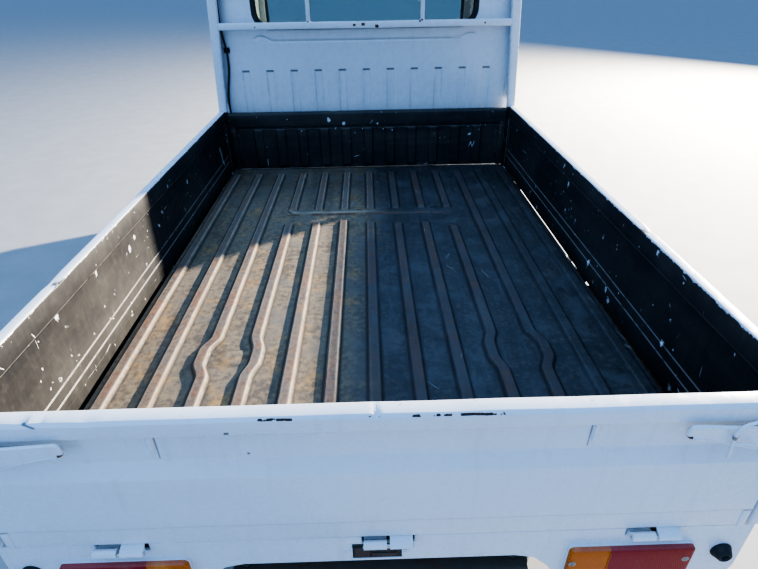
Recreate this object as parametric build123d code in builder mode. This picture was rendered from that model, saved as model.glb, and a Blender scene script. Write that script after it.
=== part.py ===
from build123d import *
import os
from math import sin, cos, tan, radians, degrees, hypot, atan2

# Cab-over mini truck with a drop-side load bed, millimetres.
# +X is the vehicle's right, +Y is forward, +Z is up; the origin is on the
# ground below the middle of the overall length.

os.makedirs("parts", exist_ok=True)

# ------------------------------------------------------------------ sizes
HALF_WIDTH = 697.5          # overall body width 1395
HALF_LENGTH = 1647.5        # overall length 3295
CAB_HEIGHT = 1745.0

# load bed
GATE_TOP = 940.0            # top of the three drop gates
FLOOR_TOP = 658.5           # flats of the bed floor
FLOOR_BOTTOM = 646.0
FLOOR_HALF = 662.5
RIB_PITCH = 105.0
RIB_HALF = 18.0
RIB_HEIGHT = 10.0
GATE_INNER_X = 671.0        # inner face of the side gates
GATE_BOTTOM = 647.0
TAIL_INNER_Y = -1589.0      # inner face of the tailgate
TAIL_OUTER_Y = -1621.0
TAIL_HALF = 649.0
HEAD_REAR_Y = 357.5         # face of the headboard towards the load
HEAD_FRONT_Y = 387.5
GAP = 6.0                   # clearance round every moving panel

# cab
CAB_REAR_Y = 417.0
WALL = 30.0
CAB_HALF = 690.0
ROOF_HALF = 615.0
BELT_Z = 1085.0
CAB_BOTTOM = 430.0
DOOR_REAR_Y = 620.0
DOOR_FRONT_Y = 1460.0
DOOR_TOP_Z = 1640.0
DOOR_BOTTOM_Z = 470.0

# running gear
FRONT_AXLE_Y = 987.0
REAR_AXLE_Y = -853.0
WHEEL_X = 602.5             # track 1205
WHEEL_R = 270.0
ARCH_R = 325.0
KINGPIN_X = 530.0
RAIL_IN = 290.0
RAIL_OUT = 345.0

# hinges
TAIL_HINGE_Y = -1627.0
TAIL_HINGE_Z = 633.0
SIDE_HINGE_X = 689.5
SIDE_HINGE_Z = 634.0
PIN_CLEAR = 0.05            # radial clearance of a pin in its hole

SIDES = (("left", -1), ("right", 1))


# ---------------------------------------------------------------- helpers
def at_x(x):
    """Plane across the vehicle at x: drawn as (y, z), extruded to +X."""
    return Plane(origin=(x, 0, 0), x_dir=(0, 1, 0), z_dir=(1, 0, 0))


def at_y(y):
    """Plane along the vehicle at y: drawn as (x, z), extruded to -Y."""
    return Plane(origin=(0, y, 0), x_dir=(1, 0, 0), z_dir=(0, -1, 0))


def block(x0, x1, y0, y1, z0, z1, mode=Mode.ADD):
    with Locations(((x0 + x1) / 2, (y0 + y1) / 2, (z0 + z1) / 2)):
        Box(abs(x1 - x0), abs(y1 - y0), abs(z1 - z0), mode=mode)


def prism(plane, points, amount, mode=Mode.ADD, radius=0.0):
    with BuildSketch(plane) as outline:
        Polygon(*points, align=None)
        if radius:
            fillet(outline.vertices(), radius)
    extrude(outline.sketch, amount=amount, mode=mode)


def rod(plane, u, v, r, length, mode=Mode.ADD):
    with BuildSketch(plane) as disc:
        with Locations((u, v)):
            Circle(r)
    extrude(disc.sketch, amount=length, mode=mode)


def rod_x(x0, x1, y, z, r, mode=Mode.ADD):
    rod(at_x(min(x0, x1)), y, z, r, abs(x1 - x0), mode)


def rod_y(y0, y1, x, z, r, mode=Mode.ADD):
    rod(at_y(max(y0, y1)), x, z, r, abs(y1 - y0), mode)


def rod_z(z0, z1, x, y, r, mode=Mode.ADD):
    rod(Plane.XY.offset(z0), x, y, r, z1 - z0, mode)


def rod_between(a, b, r, mode=Mode.ADD):
    direction = Vector(*b) - Vector(*a)
    rod(Plane(origin=a, z_dir=direction), 0, 0, r, direction.length, mode)


def save(builder, name):
    builder.part.label = name
    export_step(builder.part, "parts/" + name + ".step")


# ------------------------------------------------------------- bed floor
# rib columns: x position, rearward run (y0, y1), forward run (y0, y1) or
# None where the rib is unbroken, sideways jog round the round boss
RIB_REAR_Y = -1556.0
RIB_FRONT_Y = 285.0
SWAGE_REAR_Y = -318.0
SWAGE_FRONT_Y = -176.0
BOSS_X = 364.0
BOSS_Y = -1120.0
RIBS = [(n * RIB_PITCH, abs(n) <= 3, {3: -14.0, 4: 20.0}.get(abs(n), 0.0) * (1 if n > 0 else -1))
        for n in range(-6, 7)]

with BuildPart() as bed_floor:
    block(-FLOOR_HALF, FLOOR_HALF, TAIL_INNER_Y + 5, HEAD_REAR_Y, FLOOR_BOTTOM, FLOOR_TOP)
    for rib_x, broken, jog in RIBS:
        x = max(-FLOOR_HALF + 22, min(FLOOR_HALF - 22, rib_x))
        rear_end = SWAGE_REAR_Y if broken else RIB_FRONT_Y
        path = [(x, RIB_REAR_Y), (x, BOSS_Y - 80), (x + jog, BOSS_Y - 30),
                (x + jog, BOSS_Y + 30), (x, BOSS_Y + 80), (x, rear_end)]
        if not jog:
            path = [path[0], path[-1]]
        left = [(px - RIB_HALF, py) for px, py in path]
        right = [(px + RIB_HALF, py) for px, py in reversed(path)]
        prism(Plane.XY.offset(FLOOR_TOP), left + right, RIB_HEIGHT)
        if broken:
            block(x - RIB_HALF, x + RIB_HALF, SWAGE_FRONT_Y, RIB_FRONT_Y,
                  FLOOR_TOP, FLOOR_TOP + RIB_HEIGHT)
    for side in (-1, 1):
        rod_z(FLOOR_TOP, FLOOR_TOP + 6, side * BOSS_X, BOSS_Y, 34)
save(bed_floor, "bed_floor")

# ------------------------------------------------------------- headboard
with BuildPart() as bed_headboard:
    block(-658, 658, 372, 378, FLOOR_TOP, 872)
    prism(at_x(-658), [(HEAD_REAR_Y, 868), (HEAD_REAR_Y, 922), (HEAD_REAR_Y + 7, 930.5),
                       (HEAD_FRONT_Y - 5, 930.5), (HEAD_FRONT_Y, 925), (HEAD_FRONT_Y, 868)], 1316)
    for n in range(-5, 6):
        block(n * RIB_PITCH - 22, n * RIB_PITCH + 22, 364, 373, 668, 850)
    for name, side in SIDES:
        x0, x1 = sorted((side * 630, side * 658))
        block(x0, x1, HEAD_REAR_Y, HEAD_FRONT_Y, FLOOR_TOP, 868)
save(bed_headboard, "bed_headboard")

# ------------------------------------------------- guard frame behind cab
GUARD_TOP = 1690.0
with BuildPart() as guard_frame:
    for name, side in SIDES:
        prism(at_y(HEAD_FRONT_Y),
              [(side * 659, 560), (side * 696, 560), (side * 696, 945), (side * 672, 1390),
               (side * 656, GUARD_TOP), (side * 618, GUARD_TOP), (side * 632, 1390),
               (side * 659, 945)], 30)
        block(side * 258, side * 238, 362, 382, 1305, 1660)
    block(-640, 640, 360, 386, 1280, 1310)
    block(-626, 626, 359, 386, 1655, GUARD_TOP)
save(guard_frame, "guard_frame")

# -------------------------------------------- sills and cross bearers
BEARERS_Y = (-1540, -1240, -560, -250, 60, 320)
with BuildPart() as bed_sills:
    for name, side in SIDES:
        block(side * 632, side * 672, TAIL_INNER_Y + 5, HEAD_REAR_Y, 585, 640)
        block(side * 632, side * 660, TAIL_INNER_Y + 5, HEAD_REAR_Y, 639, FLOOR_BOTTOM)
        block(side * 297, side * 338, -1560, 340, 520, 602)
    for y in BEARERS_Y:
        block(-633, 633, y - 22, y + 22, 600, FLOOR_BOTTOM)
save(bed_sills, "bed_sills")

# ------------------------------------------------------------ rear panel
PANEL_Y = -1613.0
with BuildPart() as rear_panel:
    prism(at_y(-1605), [(-677, 634), (677, 634), (677, 505), (640, 470), (345, 470),
                        (324, 530), (292, 574), (262, 585), (-262, 585), (-292, 574),
                        (-324, 530), (-345, 470),
                        (-640, 470), (-677, 505)], 8)
    block(-677, 677, -1606, TAIL_INNER_Y + 5, 626, 634)
    for name, side in SIDES:
        block(side * 560, side * 600, -1606, -1562, 560, 634)
save(rear_panel, "rear_panel")

with BuildPart() as tail_lamps:
    for name, side in SIDES:
        prism(at_y(PANEL_Y), [(side * 345, 497), (side * 345, 598), (side * 577, 598), (side * 577, 497)],
              17, radius=8)
save(tail_lamps, "tail_lamps")

with BuildPart() as bump_stops:
    for name, side in SIDES:
        with BuildSketch(at_y(PANEL_Y)):
            with Locations((side * 636, 567)):
                Circle(21)
        with BuildSketch(at_y(PANEL_Y - 17)):
            with Locations((side * 636, 566)):
                Circle(14)
        loft()
save(bump_stops, "bump_stops")

# ------------------------------------------------- hinges, fixed halves
# tailgate hinges: x of the middle; side gate hinges: y of the middle
TAIL_HINGES_X = (-457.0, 15.0, 491.0)
SIDE_HINGES_Y = (-1380.0, -620.0, 140.0)
with BuildPart() as gate_hinges:
    for x in TAIL_HINGES_X:
        rod_x(x - 50, x - 3, TAIL_HINGE_Y, TAIL_HINGE_Z, 9)
        rod_x(x - 5, x + 49, TAIL_HINGE_Y, TAIL_HINGE_Z, 4)
        block(x - 50, x - 3, TAIL_HINGE_Y - 3, PANEL_Y, 612, TAIL_HINGE_Z)
    for name, side in SIDES:
        for y in SIDE_HINGES_Y:
            rod_y(y - 40, y - 3, side * SIDE_HINGE_X, SIDE_HINGE_Z, 7)
            rod_y(y - 5, y + 39, side * SIDE_HINGE_X, SIDE_HINGE_Z, 3.5)
            block(side * 672, side * 676, y - 40, y - 3, 606, 639)
            block(side * 672, side * SIDE_HINGE_X, y - 40, y - 3, 631, 639)
save(gate_hinges, "gate_hinges")

# --------------------------------------------------------------- tailgate
with BuildPart() as tailgate:
    # section as (y, z): top lip, rear roll, recess for the levers, belly
    prism(at_x(-TAIL_HALF),
          [(TAIL_INNER_Y, GATE_TOP), (-1617, GATE_TOP), (TAIL_OUTER_Y, 934), (TAIL_OUTER_Y, 909),
           (-1608, 904), (-1608, 848), (TAIL_OUTER_Y, 816), (TAIL_OUTER_Y, 698), (-1618, 695),
           (-1618, GATE_BOTTOM), (-1596, GATE_BOTTOM), (-1596, 705), (-1600, 712),
           (-1600, 870), (-1594, 880), (TAIL_INNER_Y, 888)], 2 * TAIL_HALF)
    for side in (-1, 1):
        block(side * (TAIL_HALF - 12), side * TAIL_HALF, TAIL_INNER_Y, -1618, GATE_BOTTOM, GATE_TOP)
        block(side * 341 - 5, side * 341 + 5, -1606, -1616, 852, 898)
    for x in TAIL_HINGES_X:
        prism(at_x(x + 3), [(-1630, 633), (-1621, 633), (-1612, 645), (-1604, 652),
                            (-1616, 662), (-1630, 648)], 47)
        rod_x(x + 3, x + 50, TAIL_HINGE_Y, TAIL_HINGE_Z, 9)
        rod_x(x + 2, x + 51, TAIL_HINGE_Y, TAIL_HINGE_Z, 4 + PIN_CLEAR, mode=Mode.SUBTRACT)
save(tailgate, "tailgate")

# lever at each end of the tailgate, drawn as (x, z), and its pivot boss
with BuildPart() as tailgate_latches:
    for name, side in SIDES:
        prism(at_y(-1628),
              [(side * 467, 892), (side * 471, 914), (side * 580, 908), (side * 688, 901),
               (side * 690, 862), (side * 600, 862), (side * 556, 873), (side * 474, 887)], 9, radius=3)
        rod_y(-1629, -1608, side * 622, 880, 13)
save(tailgate_latches, "tailgate_latches")

# ------------------------------------------------------------- side gates
for name, side in SIDES:
    with BuildPart() as side_gate:
        # section as (x, z) from the top lip round the outside to the bottom
        prism(at_y(HEAD_REAR_Y - GAP),
              [(side * GATE_INNER_X, GATE_TOP), (side * 694, GATE_TOP), (side * HALF_WIDTH, 935),
               (side * HALF_WIDTH, 905), (side * 690, 898), (side * 690, 858),
               (side * HALF_WIDTH, 828), (side * HALF_WIDTH, 700), (side * 693, 696),
               (side * 693, 656), (side * 690, GATE_BOTTOM), (side * 676, GATE_BOTTOM),
               (side * 676, 690), (side * 671, 698), (side * 671, 720), (side * 675, 726),
               (side * 675, 746), (side * 678, 752), (side * 678, 884),
               (side * GATE_INNER_X, 892)],
              HEAD_REAR_Y - GAP - TAIL_OUTER_Y)
        block(side * 655, side * HALF_WIDTH, TAIL_OUTER_Y, TAIL_INNER_Y - 1, GATE_BOTTOM + 2, GATE_TOP)
        block(side * GATE_INNER_X, side * 697, HEAD_REAR_Y - GAP - 14, HEAD_REAR_Y - GAP,
              GATE_BOTTOM + 2, GATE_TOP)
        for y in SIDE_HINGES_Y:
            block(side * 682.5, side * SIDE_HINGE_X, y + 3, y + 40, SIDE_HINGE_Z, 655)
            rod_y(y + 3, y + 40, side * SIDE_HINGE_X, SIDE_HINGE_Z, 7)
            rod_y(y + 2, y + 41, side * SIDE_HINGE_X, SIDE_HINGE_Z, 3.5 + PIN_CLEAR, mode=Mode.SUBTRACT)
    save(side_gate, "side_gate_" + name)

# ------------------------------------------------------------- cab shell
# side view of the cab as (y, z), outside and inside of the panels
CAB_OUTER = [(CAB_REAR_Y, CAB_BOTTOM), (CAB_REAR_Y, 1690), (470, CAB_HEIGHT), (1110, CAB_HEIGHT),
             (1205, 1705), (1570, BELT_Z + 5), (1636, 1000), (1636, 620), (1606, CAB_BOTTOM)]
CAB_INNER = [(CAB_REAR_Y + WALL, 300), (CAB_REAR_Y + WALL, 1672), (490, CAB_HEIGHT - 28),
             (1102, CAB_HEIGHT - 28), (1178, 1684), (1536, BELT_Z - 10), (1604, 988), (1604, 300)]
LEAN = (CAB_HALF - ROOF_HALF) / (CAB_HEIGHT - BELT_Z)      # side lean per mm of height


def cab_half(z, inset=0.0):
    """Half width of the cab at height z."""
    return CAB_HALF - inset - max(0.0, z - BELT_Z) * LEAN


def front_view(inset, bottom, top):
    return [(-cab_half(0, inset), bottom), (cab_half(0, inset), bottom),
            (cab_half(BELT_Z, inset), BELT_Z), (cab_half(top, inset), top),
            (-cab_half(top, inset), top), (-cab_half(BELT_Z, inset), BELT_Z)]


with BuildPart() as cab_outer:
    prism(at_x(-CAB_HALF), CAB_OUTER, 2 * CAB_HALF)
    prism(at_y(1700), front_view(0, 300, 1800), 1400, mode=Mode.INTERSECT)
    # rounded corners seen from above, front and rear
    with BuildSketch(Plane.XY.offset(200)):
        with Locations((0, (CAB_REAR_Y + 1640) / 2)):
            RectangleRounded(2 * CAB_HALF, 1640 - CAB_REAR_Y, 48)
    extrude(amount=1700, mode=Mode.INTERSECT)
    rod_x(-700, -368, FRONT_AXLE_Y, WHEEL_R, ARCH_R + 6, mode=Mode.SUBTRACT)
    rod_x(368, 700, FRONT_AXLE_Y, WHEEL_R, ARCH_R + 6, mode=Mode.SUBTRACT)

with BuildPart() as cab_inner:
    prism(at_x(-CAB_HALF + WALL), CAB_INNER, 2 * (CAB_HALF - WALL))
    prism(at_y(1700), front_view(WALL, 200, 1800), 1400, mode=Mode.INTERSECT)

with BuildPart() as cab_shell:
    add(cab_outer.part)
    add(cab_inner.part, mode=Mode.SUBTRACT)
    # windscreen opening, drawn as (x, z)
    prism(at_y(1800), [(-622, 1104), (622, 1104), (572, 1656), (-572, 1656)], 650,
          mode=Mode.SUBTRACT, radius=38)

DOOR_OUTLINE = [(DOOR_REAR_Y, DOOR_BOTTOM_Z), (DOOR_FRONT_Y, DOOR_BOTTOM_Z), (DOOR_FRONT_Y, BELT_Z),
                (1144, DOOR_TOP_Z), (DOOR_REAR_Y, DOOR_TOP_Z)]
SIDE_WINDOW = [(668, BELT_Z + 12), (1378, BELT_Z + 12), (1112, 1596), (668, 1596)]

# rear wall with its sunk ribs, one long groove and the rear window opening
WINDOW_HALF = 492.0
WINDOW_LOW, WINDOW_HIGH = 1284.0, 1610.0
with BuildPart() as cab_rear_wall:
    add(cab_shell.part)
    block(-720, 720, 380, CAB_REAR_Y + WALL, 400, 1690, mode=Mode.INTERSECT)
    block(-352, 352, 380, 460, 400, 634, mode=Mode.SUBTRACT)
    for n in range(-5, 6):
        x = n * 111.2 - 1
        prism(at_x(x - 17), [(CAB_REAR_Y - 1, 642), (CAB_REAR_Y + 3.5, 655), (CAB_REAR_Y + 3.5, 1095),
                             (CAB_REAR_Y - 1, 1109)], 34, mode=Mode.SUBTRACT)
    prism(at_y(CAB_REAR_Y + 2.5),
          [(-488, 1243), (-470, 1246), (-450, 1241), (-424, 1227), (400, 1227), (432, 1235), (468, 1246),
           (488, 1243), (488, 1250), (466, 1254), (428, 1243), (398, 1235), (-420, 1235),
           (-446, 1248), (-468, 1254), (-488, 1250)], 5, mode=Mode.SUBTRACT)
    prism(at_y(500), [(-WINDOW_HALF, WINDOW_LOW), (WINDOW_HALF, WINDOW_LOW),
                      (WINDOW_HALF, WINDOW_HIGH), (-WINDOW_HALF, WINDOW_HIGH)], 200,
          mode=Mode.SUBTRACT, radius=65)
save(cab_rear_wall, "cab_rear_wall")

with BuildPart() as rear_window:
    prism(at_y(434), [(-WINDOW_HALF, WINDOW_LOW), (WINDOW_HALF, WINDOW_LOW),
                      (WINDOW_HALF, WINDOW_HIGH), (-WINDOW_HALF, WINDOW_HIGH)], 5, radius=65)
save(rear_window, "rear_window")

with BuildPart() as cab_roof:
    add(cab_shell.part)
    with BuildPart(mode=Mode.PRIVATE) as roof_zone:
        block(-720, 720, CAB_REAR_Y + WALL, 1700, 1670, 1800)
        block(-720, 720, 300, 1700, 1690, 1800)
        block(-560, 560, CAB_REAR_Y + WALL, 1700, 1640, 1700)
    add(roof_zone.part, mode=Mode.INTERSECT)
save(cab_roof, "cab_roof")

with BuildPart() as cab_front_panel:
    add(cab_shell.part)
    with BuildPart(mode=Mode.PRIVATE) as front_zone:
        block(-720, 720, DOOR_FRONT_Y, 1700, 300, BELT_Z)
        block(-560, 560, DOOR_FRONT_Y, 1700, 300, BELT_Z + 40)
    add(front_zone.part, mode=Mode.INTERSECT)
    for name, side in SIDES:
        prism(at_y(1650), [(side * 392, 650), (side * 392, 792), (side * 628, 792), (side * 628, 650)],
              34, mode=Mode.SUBTRACT, radius=10)
save(cab_front_panel, "cab_front_panel")

with BuildPart() as front_lamps:
    for name, side in SIDES:
        prism(at_y(1642), [(side * 394, 652), (side * 394, 790), (side * 556, 790), (side * 556, 652)],
              24, radius=8)
        prism(at_y(1638), [(side * 562, 652), (side * 562, 790), (side * 626, 790), (side * 626, 652)],
              20, radius=8)
save(front_lamps, "front_lamps")

for name, side in SIDES:
    with BuildPart() as cab_side:
        add(cab_shell.part)
        block(side * 560, side * 720, CAB_REAR_Y + WALL, 1700, 400, 1670, mode=Mode.INTERSECT)
        block(side * 500, side * 720, DOOR_FRONT_Y, 1700, 300, BELT_Z, mode=Mode.SUBTRACT)
        prism(at_x(-800), DOOR_OUTLINE, 1600, mode=Mode.SUBTRACT)
    save(cab_side, "cab_side_" + name)

    with BuildPart() as door:
        add(cab_shell.part)
        block(side * 560, side * 720, DOOR_REAR_Y, DOOR_FRONT_Y, 400, 1670, mode=Mode.INTERSECT)
        with BuildSketch(at_x(-800)):
            with BuildSketch(mode=Mode.PRIVATE) as outline:
                Polygon(*DOOR_OUTLINE, align=None)
            offset(outline.sketch, amount=-GAP, kind=Kind.INTERSECTION)
        extrude(amount=1600, mode=Mode.INTERSECT)
        prism(at_x(-800), SIDE_WINDOW, 1600, mode=Mode.SUBTRACT, radius=24)
        block(side * 688, side * 697, 655, 768, 978, 1004)
    save(door, "door_" + name)

    # side window glass, following the lean of the door
    with BuildPart() as door_glass:
        prism(at_x(-800), SIDE_WINDOW, 1600, radius=24)
        prism(at_y(1600), [(side * (cab_half(1000) - 12), 1000), (side * (cab_half(1000) - 17), 1000),
                           (side * (cab_half(BELT_Z) - 17), BELT_Z), (side * (cab_half(1640) - 17), 1640),
                           (side * (cab_half(1640) - 12), 1640), (side * (cab_half(BELT_Z) - 12), BELT_Z)],
              1100, mode=Mode.INTERSECT)
    save(door_glass, "door_glass_" + name)

    # door mirror on a short arm at the front lower corner of the window
    with BuildPart() as mirror:
        prism(at_y(1420), [(side * 690, 1070), (side * 690, 1110), (side * 745, 1180),
                           (side * 765, 1180), (side * 765, 1150), (side * 712, 1070)], 26)
        prism(at_y(1432), [(side * 725, 1165), (side * 725, 1345), (side * 830, 1345), (side * 830, 1165)],
              40, radius=18)
    save(mirror, "mirror_" + name)

# windscreen pane parallel to the raked opening
with BuildPart() as windscreen:
    rake = (1570 - 1205) / (1705 - (BELT_Z + 5))
    y_low = 1570 - rake * (1104 - BELT_Z - 5)
    y_high = 1570 - rake * (1656 - BELT_Z - 5)
    prism(at_x(-640), [(y_low - 16, 1104), (y_low - 10, 1104), (y_high - 10, 1656), (y_high - 16, 1656)], 1280)
    prism(at_y(1800), [(-622, 1104), (622, 1104), (572, 1656), (-572, 1656)], 650,
          mode=Mode.INTERSECT, radius=38)
save(windscreen, "windscreen")

# ------------------------------------------------------------ front bumper
with BuildPart() as front_bumper:
    block(-CAB_HALF, CAB_HALF, 1500, HALF_LENGTH, 392, 556)
    fillet(front_bumper.edges().filter_by(Axis.Z).sort_by(Axis.Y)[-2:], 52)
    with BuildPart(mode=Mode.PRIVATE) as bumper_core:
        block(-CAB_HALF + 32, CAB_HALF - 32, 1400, HALF_LENGTH - 42, 300, 700)
    add(bumper_core.part, mode=Mode.SUBTRACT)
    add(cab_outer.part, mode=Mode.SUBTRACT)
    block(-800, 800, 1000, 1500, 300, 700, mode=Mode.SUBTRACT)
save(front_bumper, "front_bumper")

# --------------------------------------------------------------- cab floor
# side view (y, z): footwell, riser, seat deck; 6 mm sheet
with BuildPart() as cab_floor:
    prism(at_x(-654), [(1604, 420), (1288, 420), (1247, 634), (CAB_REAR_Y + WALL, 634),
                       (CAB_REAR_Y + WALL, 640), (1253, 640), (1293, 426), (1604, 426)], 1308)
    for name, side in SIDES:
        with BuildSketch(at_x(min(side * 370, side * 654))):
            with Locations((FRONT_AXLE_Y, WHEEL_R)):
                Circle(ARCH_R + 6)
                Circle(ARCH_R, mode=Mode.SUBTRACT)
            with Locations((FRONT_AXLE_Y, WHEEL_R - 200)):
                Rectangle(800, 600, mode=Mode.SUBTRACT)
        extrude(amount=284)
        with BuildSketch(at_x(min(side * 364, side * 370))):
            with Locations((FRONT_AXLE_Y, WHEEL_R)):
                Circle(ARCH_R + 6)
            with Locations((FRONT_AXLE_Y, WHEEL_R - 200)):
                Rectangle(800, 600, mode=Mode.SUBTRACT)
        extrude(amount=6)
        block(side * 560, side * 600, FRONT_AXLE_Y - 20, FRONT_AXLE_Y + 20, 598, 636)
        block(side * 364, side * 400, FRONT_AXLE_Y - 20, FRONT_AXLE_Y + 20, 598, 636)
save(cab_floor, "cab_floor")

# ---------------------------------------------------------------- interior
with BuildPart() as dashboard:
    prism(at_x(-640), [(1372, 880), (1362, 960), (1410, 1046), (1510, 1062), (1548, 1040),
                       (1600, 976), (1600, 870)], 1280)
save(dashboard, "dashboard")

with BuildPart() as seats:
    for name, side in SIDES:
        prism(at_x(min(side * 62, side * 592)),
              [(1130, 642), (1135, 735), (1110, 762), (700, 748), (566, 1190), (554, 1280),
               (496, 1280), (484, 1190), (560, 642)], 530)
save(seats, "seats")

# steering wheel: rim, spokes, column down to the floor
STEER_X, STEER_Y, STEER_Z = 335.0, 1235.0, 1035.0
with BuildPart() as steering_wheel:
    wheel_plane = Plane(origin=(STEER_X, STEER_Y, STEER_Z), x_dir=(1, 0, 0), z_dir=(0, -0.45, 0.893))
    with BuildSketch(Plane(origin=(STEER_X, STEER_Y, STEER_Z), x_dir=(1, 0, 0), z_dir=(0, 0.893, 0.45))):
        with Locations((178, 0)):
            Circle(13)
    revolve(axis=Axis((STEER_X, STEER_Y, STEER_Z), (0, -0.45, 0.893)))
    with BuildSketch(wheel_plane.offset(-12)):
        Circle(48)
        with PolarLocations(93, 3, start_angle=90):
            Rectangle(158, 34)
    extrude(amount=18)
    with BuildSketch(wheel_plane.offset(-12)):
        Circle(26)
    extrude(amount=-720)
    block(200, 500, 1300, 1700, 300, 426, mode=Mode.SUBTRACT)
save(steering_wheel, "steering_wheel")

# ---------------------------------------------- cable on the cab's back
# route of the cable's middle line on the wall as (x, z), top to bottom; it
# runs between two rubber boots and through one clip
CABLE_R = 4.5
CABLE_Y = 409.0
CABLE_ROUTE = [(-636, 1600), (-634, 1535), (-637, 1468), (-640, 1400), (-642, 1344), (-642, 1292),
               (-637, 1246), (-629, 1198), (-628, 1148), (-634, 1092), (-646, 1036), (-654, 982),
               (-653, 926), (-649, 884)]
radii = []
for i in range(1, len(CABLE_ROUTE) - 1):
    (xa, za), (xb, zb), (xc, zc) = CABLE_ROUTE[i - 1:i + 2]
    before, after = atan2(zb - za, xb - xa), atan2(zc - zb, xc - xb)
    turn = abs(after - before)
    shorter = min(hypot(xb - xa, zb - za), hypot(xc - xb, zc - zb))
    radii.append(0.45 * shorter / tan(turn / 2))
print("cable radii", [round(r) for r in radii])
with BuildPart() as cab_cable:
    with BuildLine() as cable_line:
        FilletPolyline(*[(x, CABLE_Y, z) for x, z in CABLE_ROUTE], radius=radii)
    with BuildSketch(Plane(origin=cable_line.wires()[0] @ 0, z_dir=cable_line.wires()[0] % 0)):
        Circle(CABLE_R)
    sweep(path=cable_line.wires()[0])
cable_length = cable_line.wires()[0].length
print("cable length", round(cable_length), "volume check",
      round(cab_cable.part.volume / (3.14159265 * CABLE_R ** 2 * cable_length), 4))
save(cab_cable, "cab_cable")

with BuildPart() as cable_clips:
    block(-650, -622, 402, 418, 1600, 1636)
    block(-663, -635, 402, 420, 850, 884)
    prism(at_y(418), [(-642, 1190), (-620, 1183), (-614, 1206), (-637, 1212)], 16)
    add(cab_cable.part, mode=Mode.SUBTRACT)
    add(cab_outer.part, mode=Mode.SUBTRACT)
save(cable_clips, "cable_clips")

# ------------------------------------------------------------ ladder frame
CROSS_Y = (-1500, -1060, -560, -120, 330, 1500)
with BuildPart() as ladder_frame:
    for name, side in SIDES:
        prism(at_x(min(side * RAIL_IN, side * RAIL_OUT)),
              [(-1525, 440), (1000, 440), (1085, 335), (1525, 335), (1525, 402), (1112, 402),
               (1044, 520), (-1525, 520)], RAIL_OUT - RAIL_IN)
        block(side * 297, side * 338, 400, 460, 520, 634)
        block(side * 297, side * 338, 1130, 1190, 402, 634)
    for y in CROSS_Y:
        if y < 1000:
            block(-RAIL_IN - 1, RAIL_IN + 1, y - 25, y + 25, 446, 514)
        else:
            block(-RAIL_IN - 1, RAIL_IN + 1, y - 25, y + 25, 340, 396)
save(ladder_frame, "ladder_frame")

# towing eyes on the first and last cross members, hole across the vehicle
with BuildPart() as tow_eyes:
    block(-8, 8, -HALF_LENGTH, -1560, 433, 477)
    block(-8, 8, -1565, -1525, 446, 477)
    rod_x(-9, 9, -1626, 455, 9, mode=Mode.SUBTRACT)
    block(-8, 8, 1525, 1625, 344, 388)
    rod_x(-9, 9, 1612, 366, 9, mode=Mode.SUBTRACT)
save(tow_eyes, "tow_eyes")

with BuildPart() as engine_block:
    block(-190, 190, 500, 880, 300, 600)
    fillet(engine_block.edges().filter_by(Axis.Y), 20)
save(engine_block, "engine_block")

with BuildPart() as fuel_tank:
    block(-620, -372, -330, 130, 330, 560)
    fillet(fuel_tank.edges().filter_by(Axis.Y), 30)
    block(-345, -400, -220, -180, 470, 500)
    block(-345, -400, -20, 20, 470, 500)
save(fuel_tank, "fuel_tank")

# exhaust: pipe, silencer, tail pipe at x = 225
with BuildPart() as exhaust:
    rod_y(-1155, 470, 225, 378, 18)
    rod_y(-1480, -1150, 225, 374, 62)
    rod_y(-1600, -1475, 225, 368, 17)
    rod_between((150, 520, 385), (225, 462, 378), 18)
    block(-800, 800, 495, 1000, 200, 800, mode=Mode.SUBTRACT)
save(exhaust, "exhaust")

# -------------------------------------------------------------- rear axle
# half section as (distance along the axle, radius)
AXLE_SECTION = [(-591, 0), (-591, 14), (-556, 14), (-556, 92), (-550, 92), (-550, 36), (-130, 36),
                (-64, 92), (-24, 104), (24, 104), (64, 92), (130, 36), (550, 36), (550, 92),
                (556, 92), (556, 14), (591, 14), (591, 0)]
with BuildPart() as rear_axle:
    with BuildSketch(Plane(origin=(0, REAR_AXLE_Y, WHEEL_R), x_dir=(1, 0, 0), z_dir=(0, -1, 0))):
        Polygon(*AXLE_SECTION, align=None)
    revolve(axis=Axis((0, REAR_AXLE_Y, WHEEL_R), (1, 0, 0)))
save(rear_axle, "rear_axle")

with BuildPart() as propshaft:
    rod_between((0, 494, 372), (0, REAR_AXLE_Y + 106, 282), 28)
save(propshaft, "propshaft")

# leaf springs: rising arcs of three leaves, and their hangers
with BuildPart() as leaf_springs:
    for name, side in SIDES:
        x0 = min(side * 405, side * 455)
        for half_span, low, high in ((470, 322, 392), (330, 314, 354), (200, 307, 326)):
            with BuildSketch(at_x(x0)):
                with BuildLine():
                    a = (REAR_AXLE_Y - half_span, high)
                    m = (REAR_AXLE_Y, low)
                    b = (REAR_AXLE_Y + half_span, high)
                    ThreePointArc(a, m, b)
                    Line(b, (b[0], b[1] + 8))
                    ThreePointArc((b[0], b[1] + 8), (m[0], m[1] + 8), (a[0], a[1] + 8))
                    Line((a[0], a[1] + 8), a)
                make_face()
            extrude(amount=50)
        for y in (REAR_AXLE_Y - 470, REAR_AXLE_Y + 470):
            rod_x(x0 - 6, x0 + 56, y, 398, 16)
            xa, xb = sorted((side * 345, side * 411))
            block(xa, xb, y - 18, y + 18, 392, 500)
        block(side * 400, side * 460, REAR_AXLE_Y - 45, REAR_AXLE_Y + 45, 328, 338)
        block(side * 400, side * 460, REAR_AXLE_Y - 40, REAR_AXLE_Y + 40, 306.5, 316)
save(leaf_springs, "leaf_springs")

# --------------------------------------------------------- front suspension
with BuildPart() as front_crossmember:
    block(-330, 330, 955, 1019, 250, 306)
    for name, side in SIDES:
        block(side * 292, side * 330, 960, 999, 300, 440)
save(front_crossmember, "front_crossmember")

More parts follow.
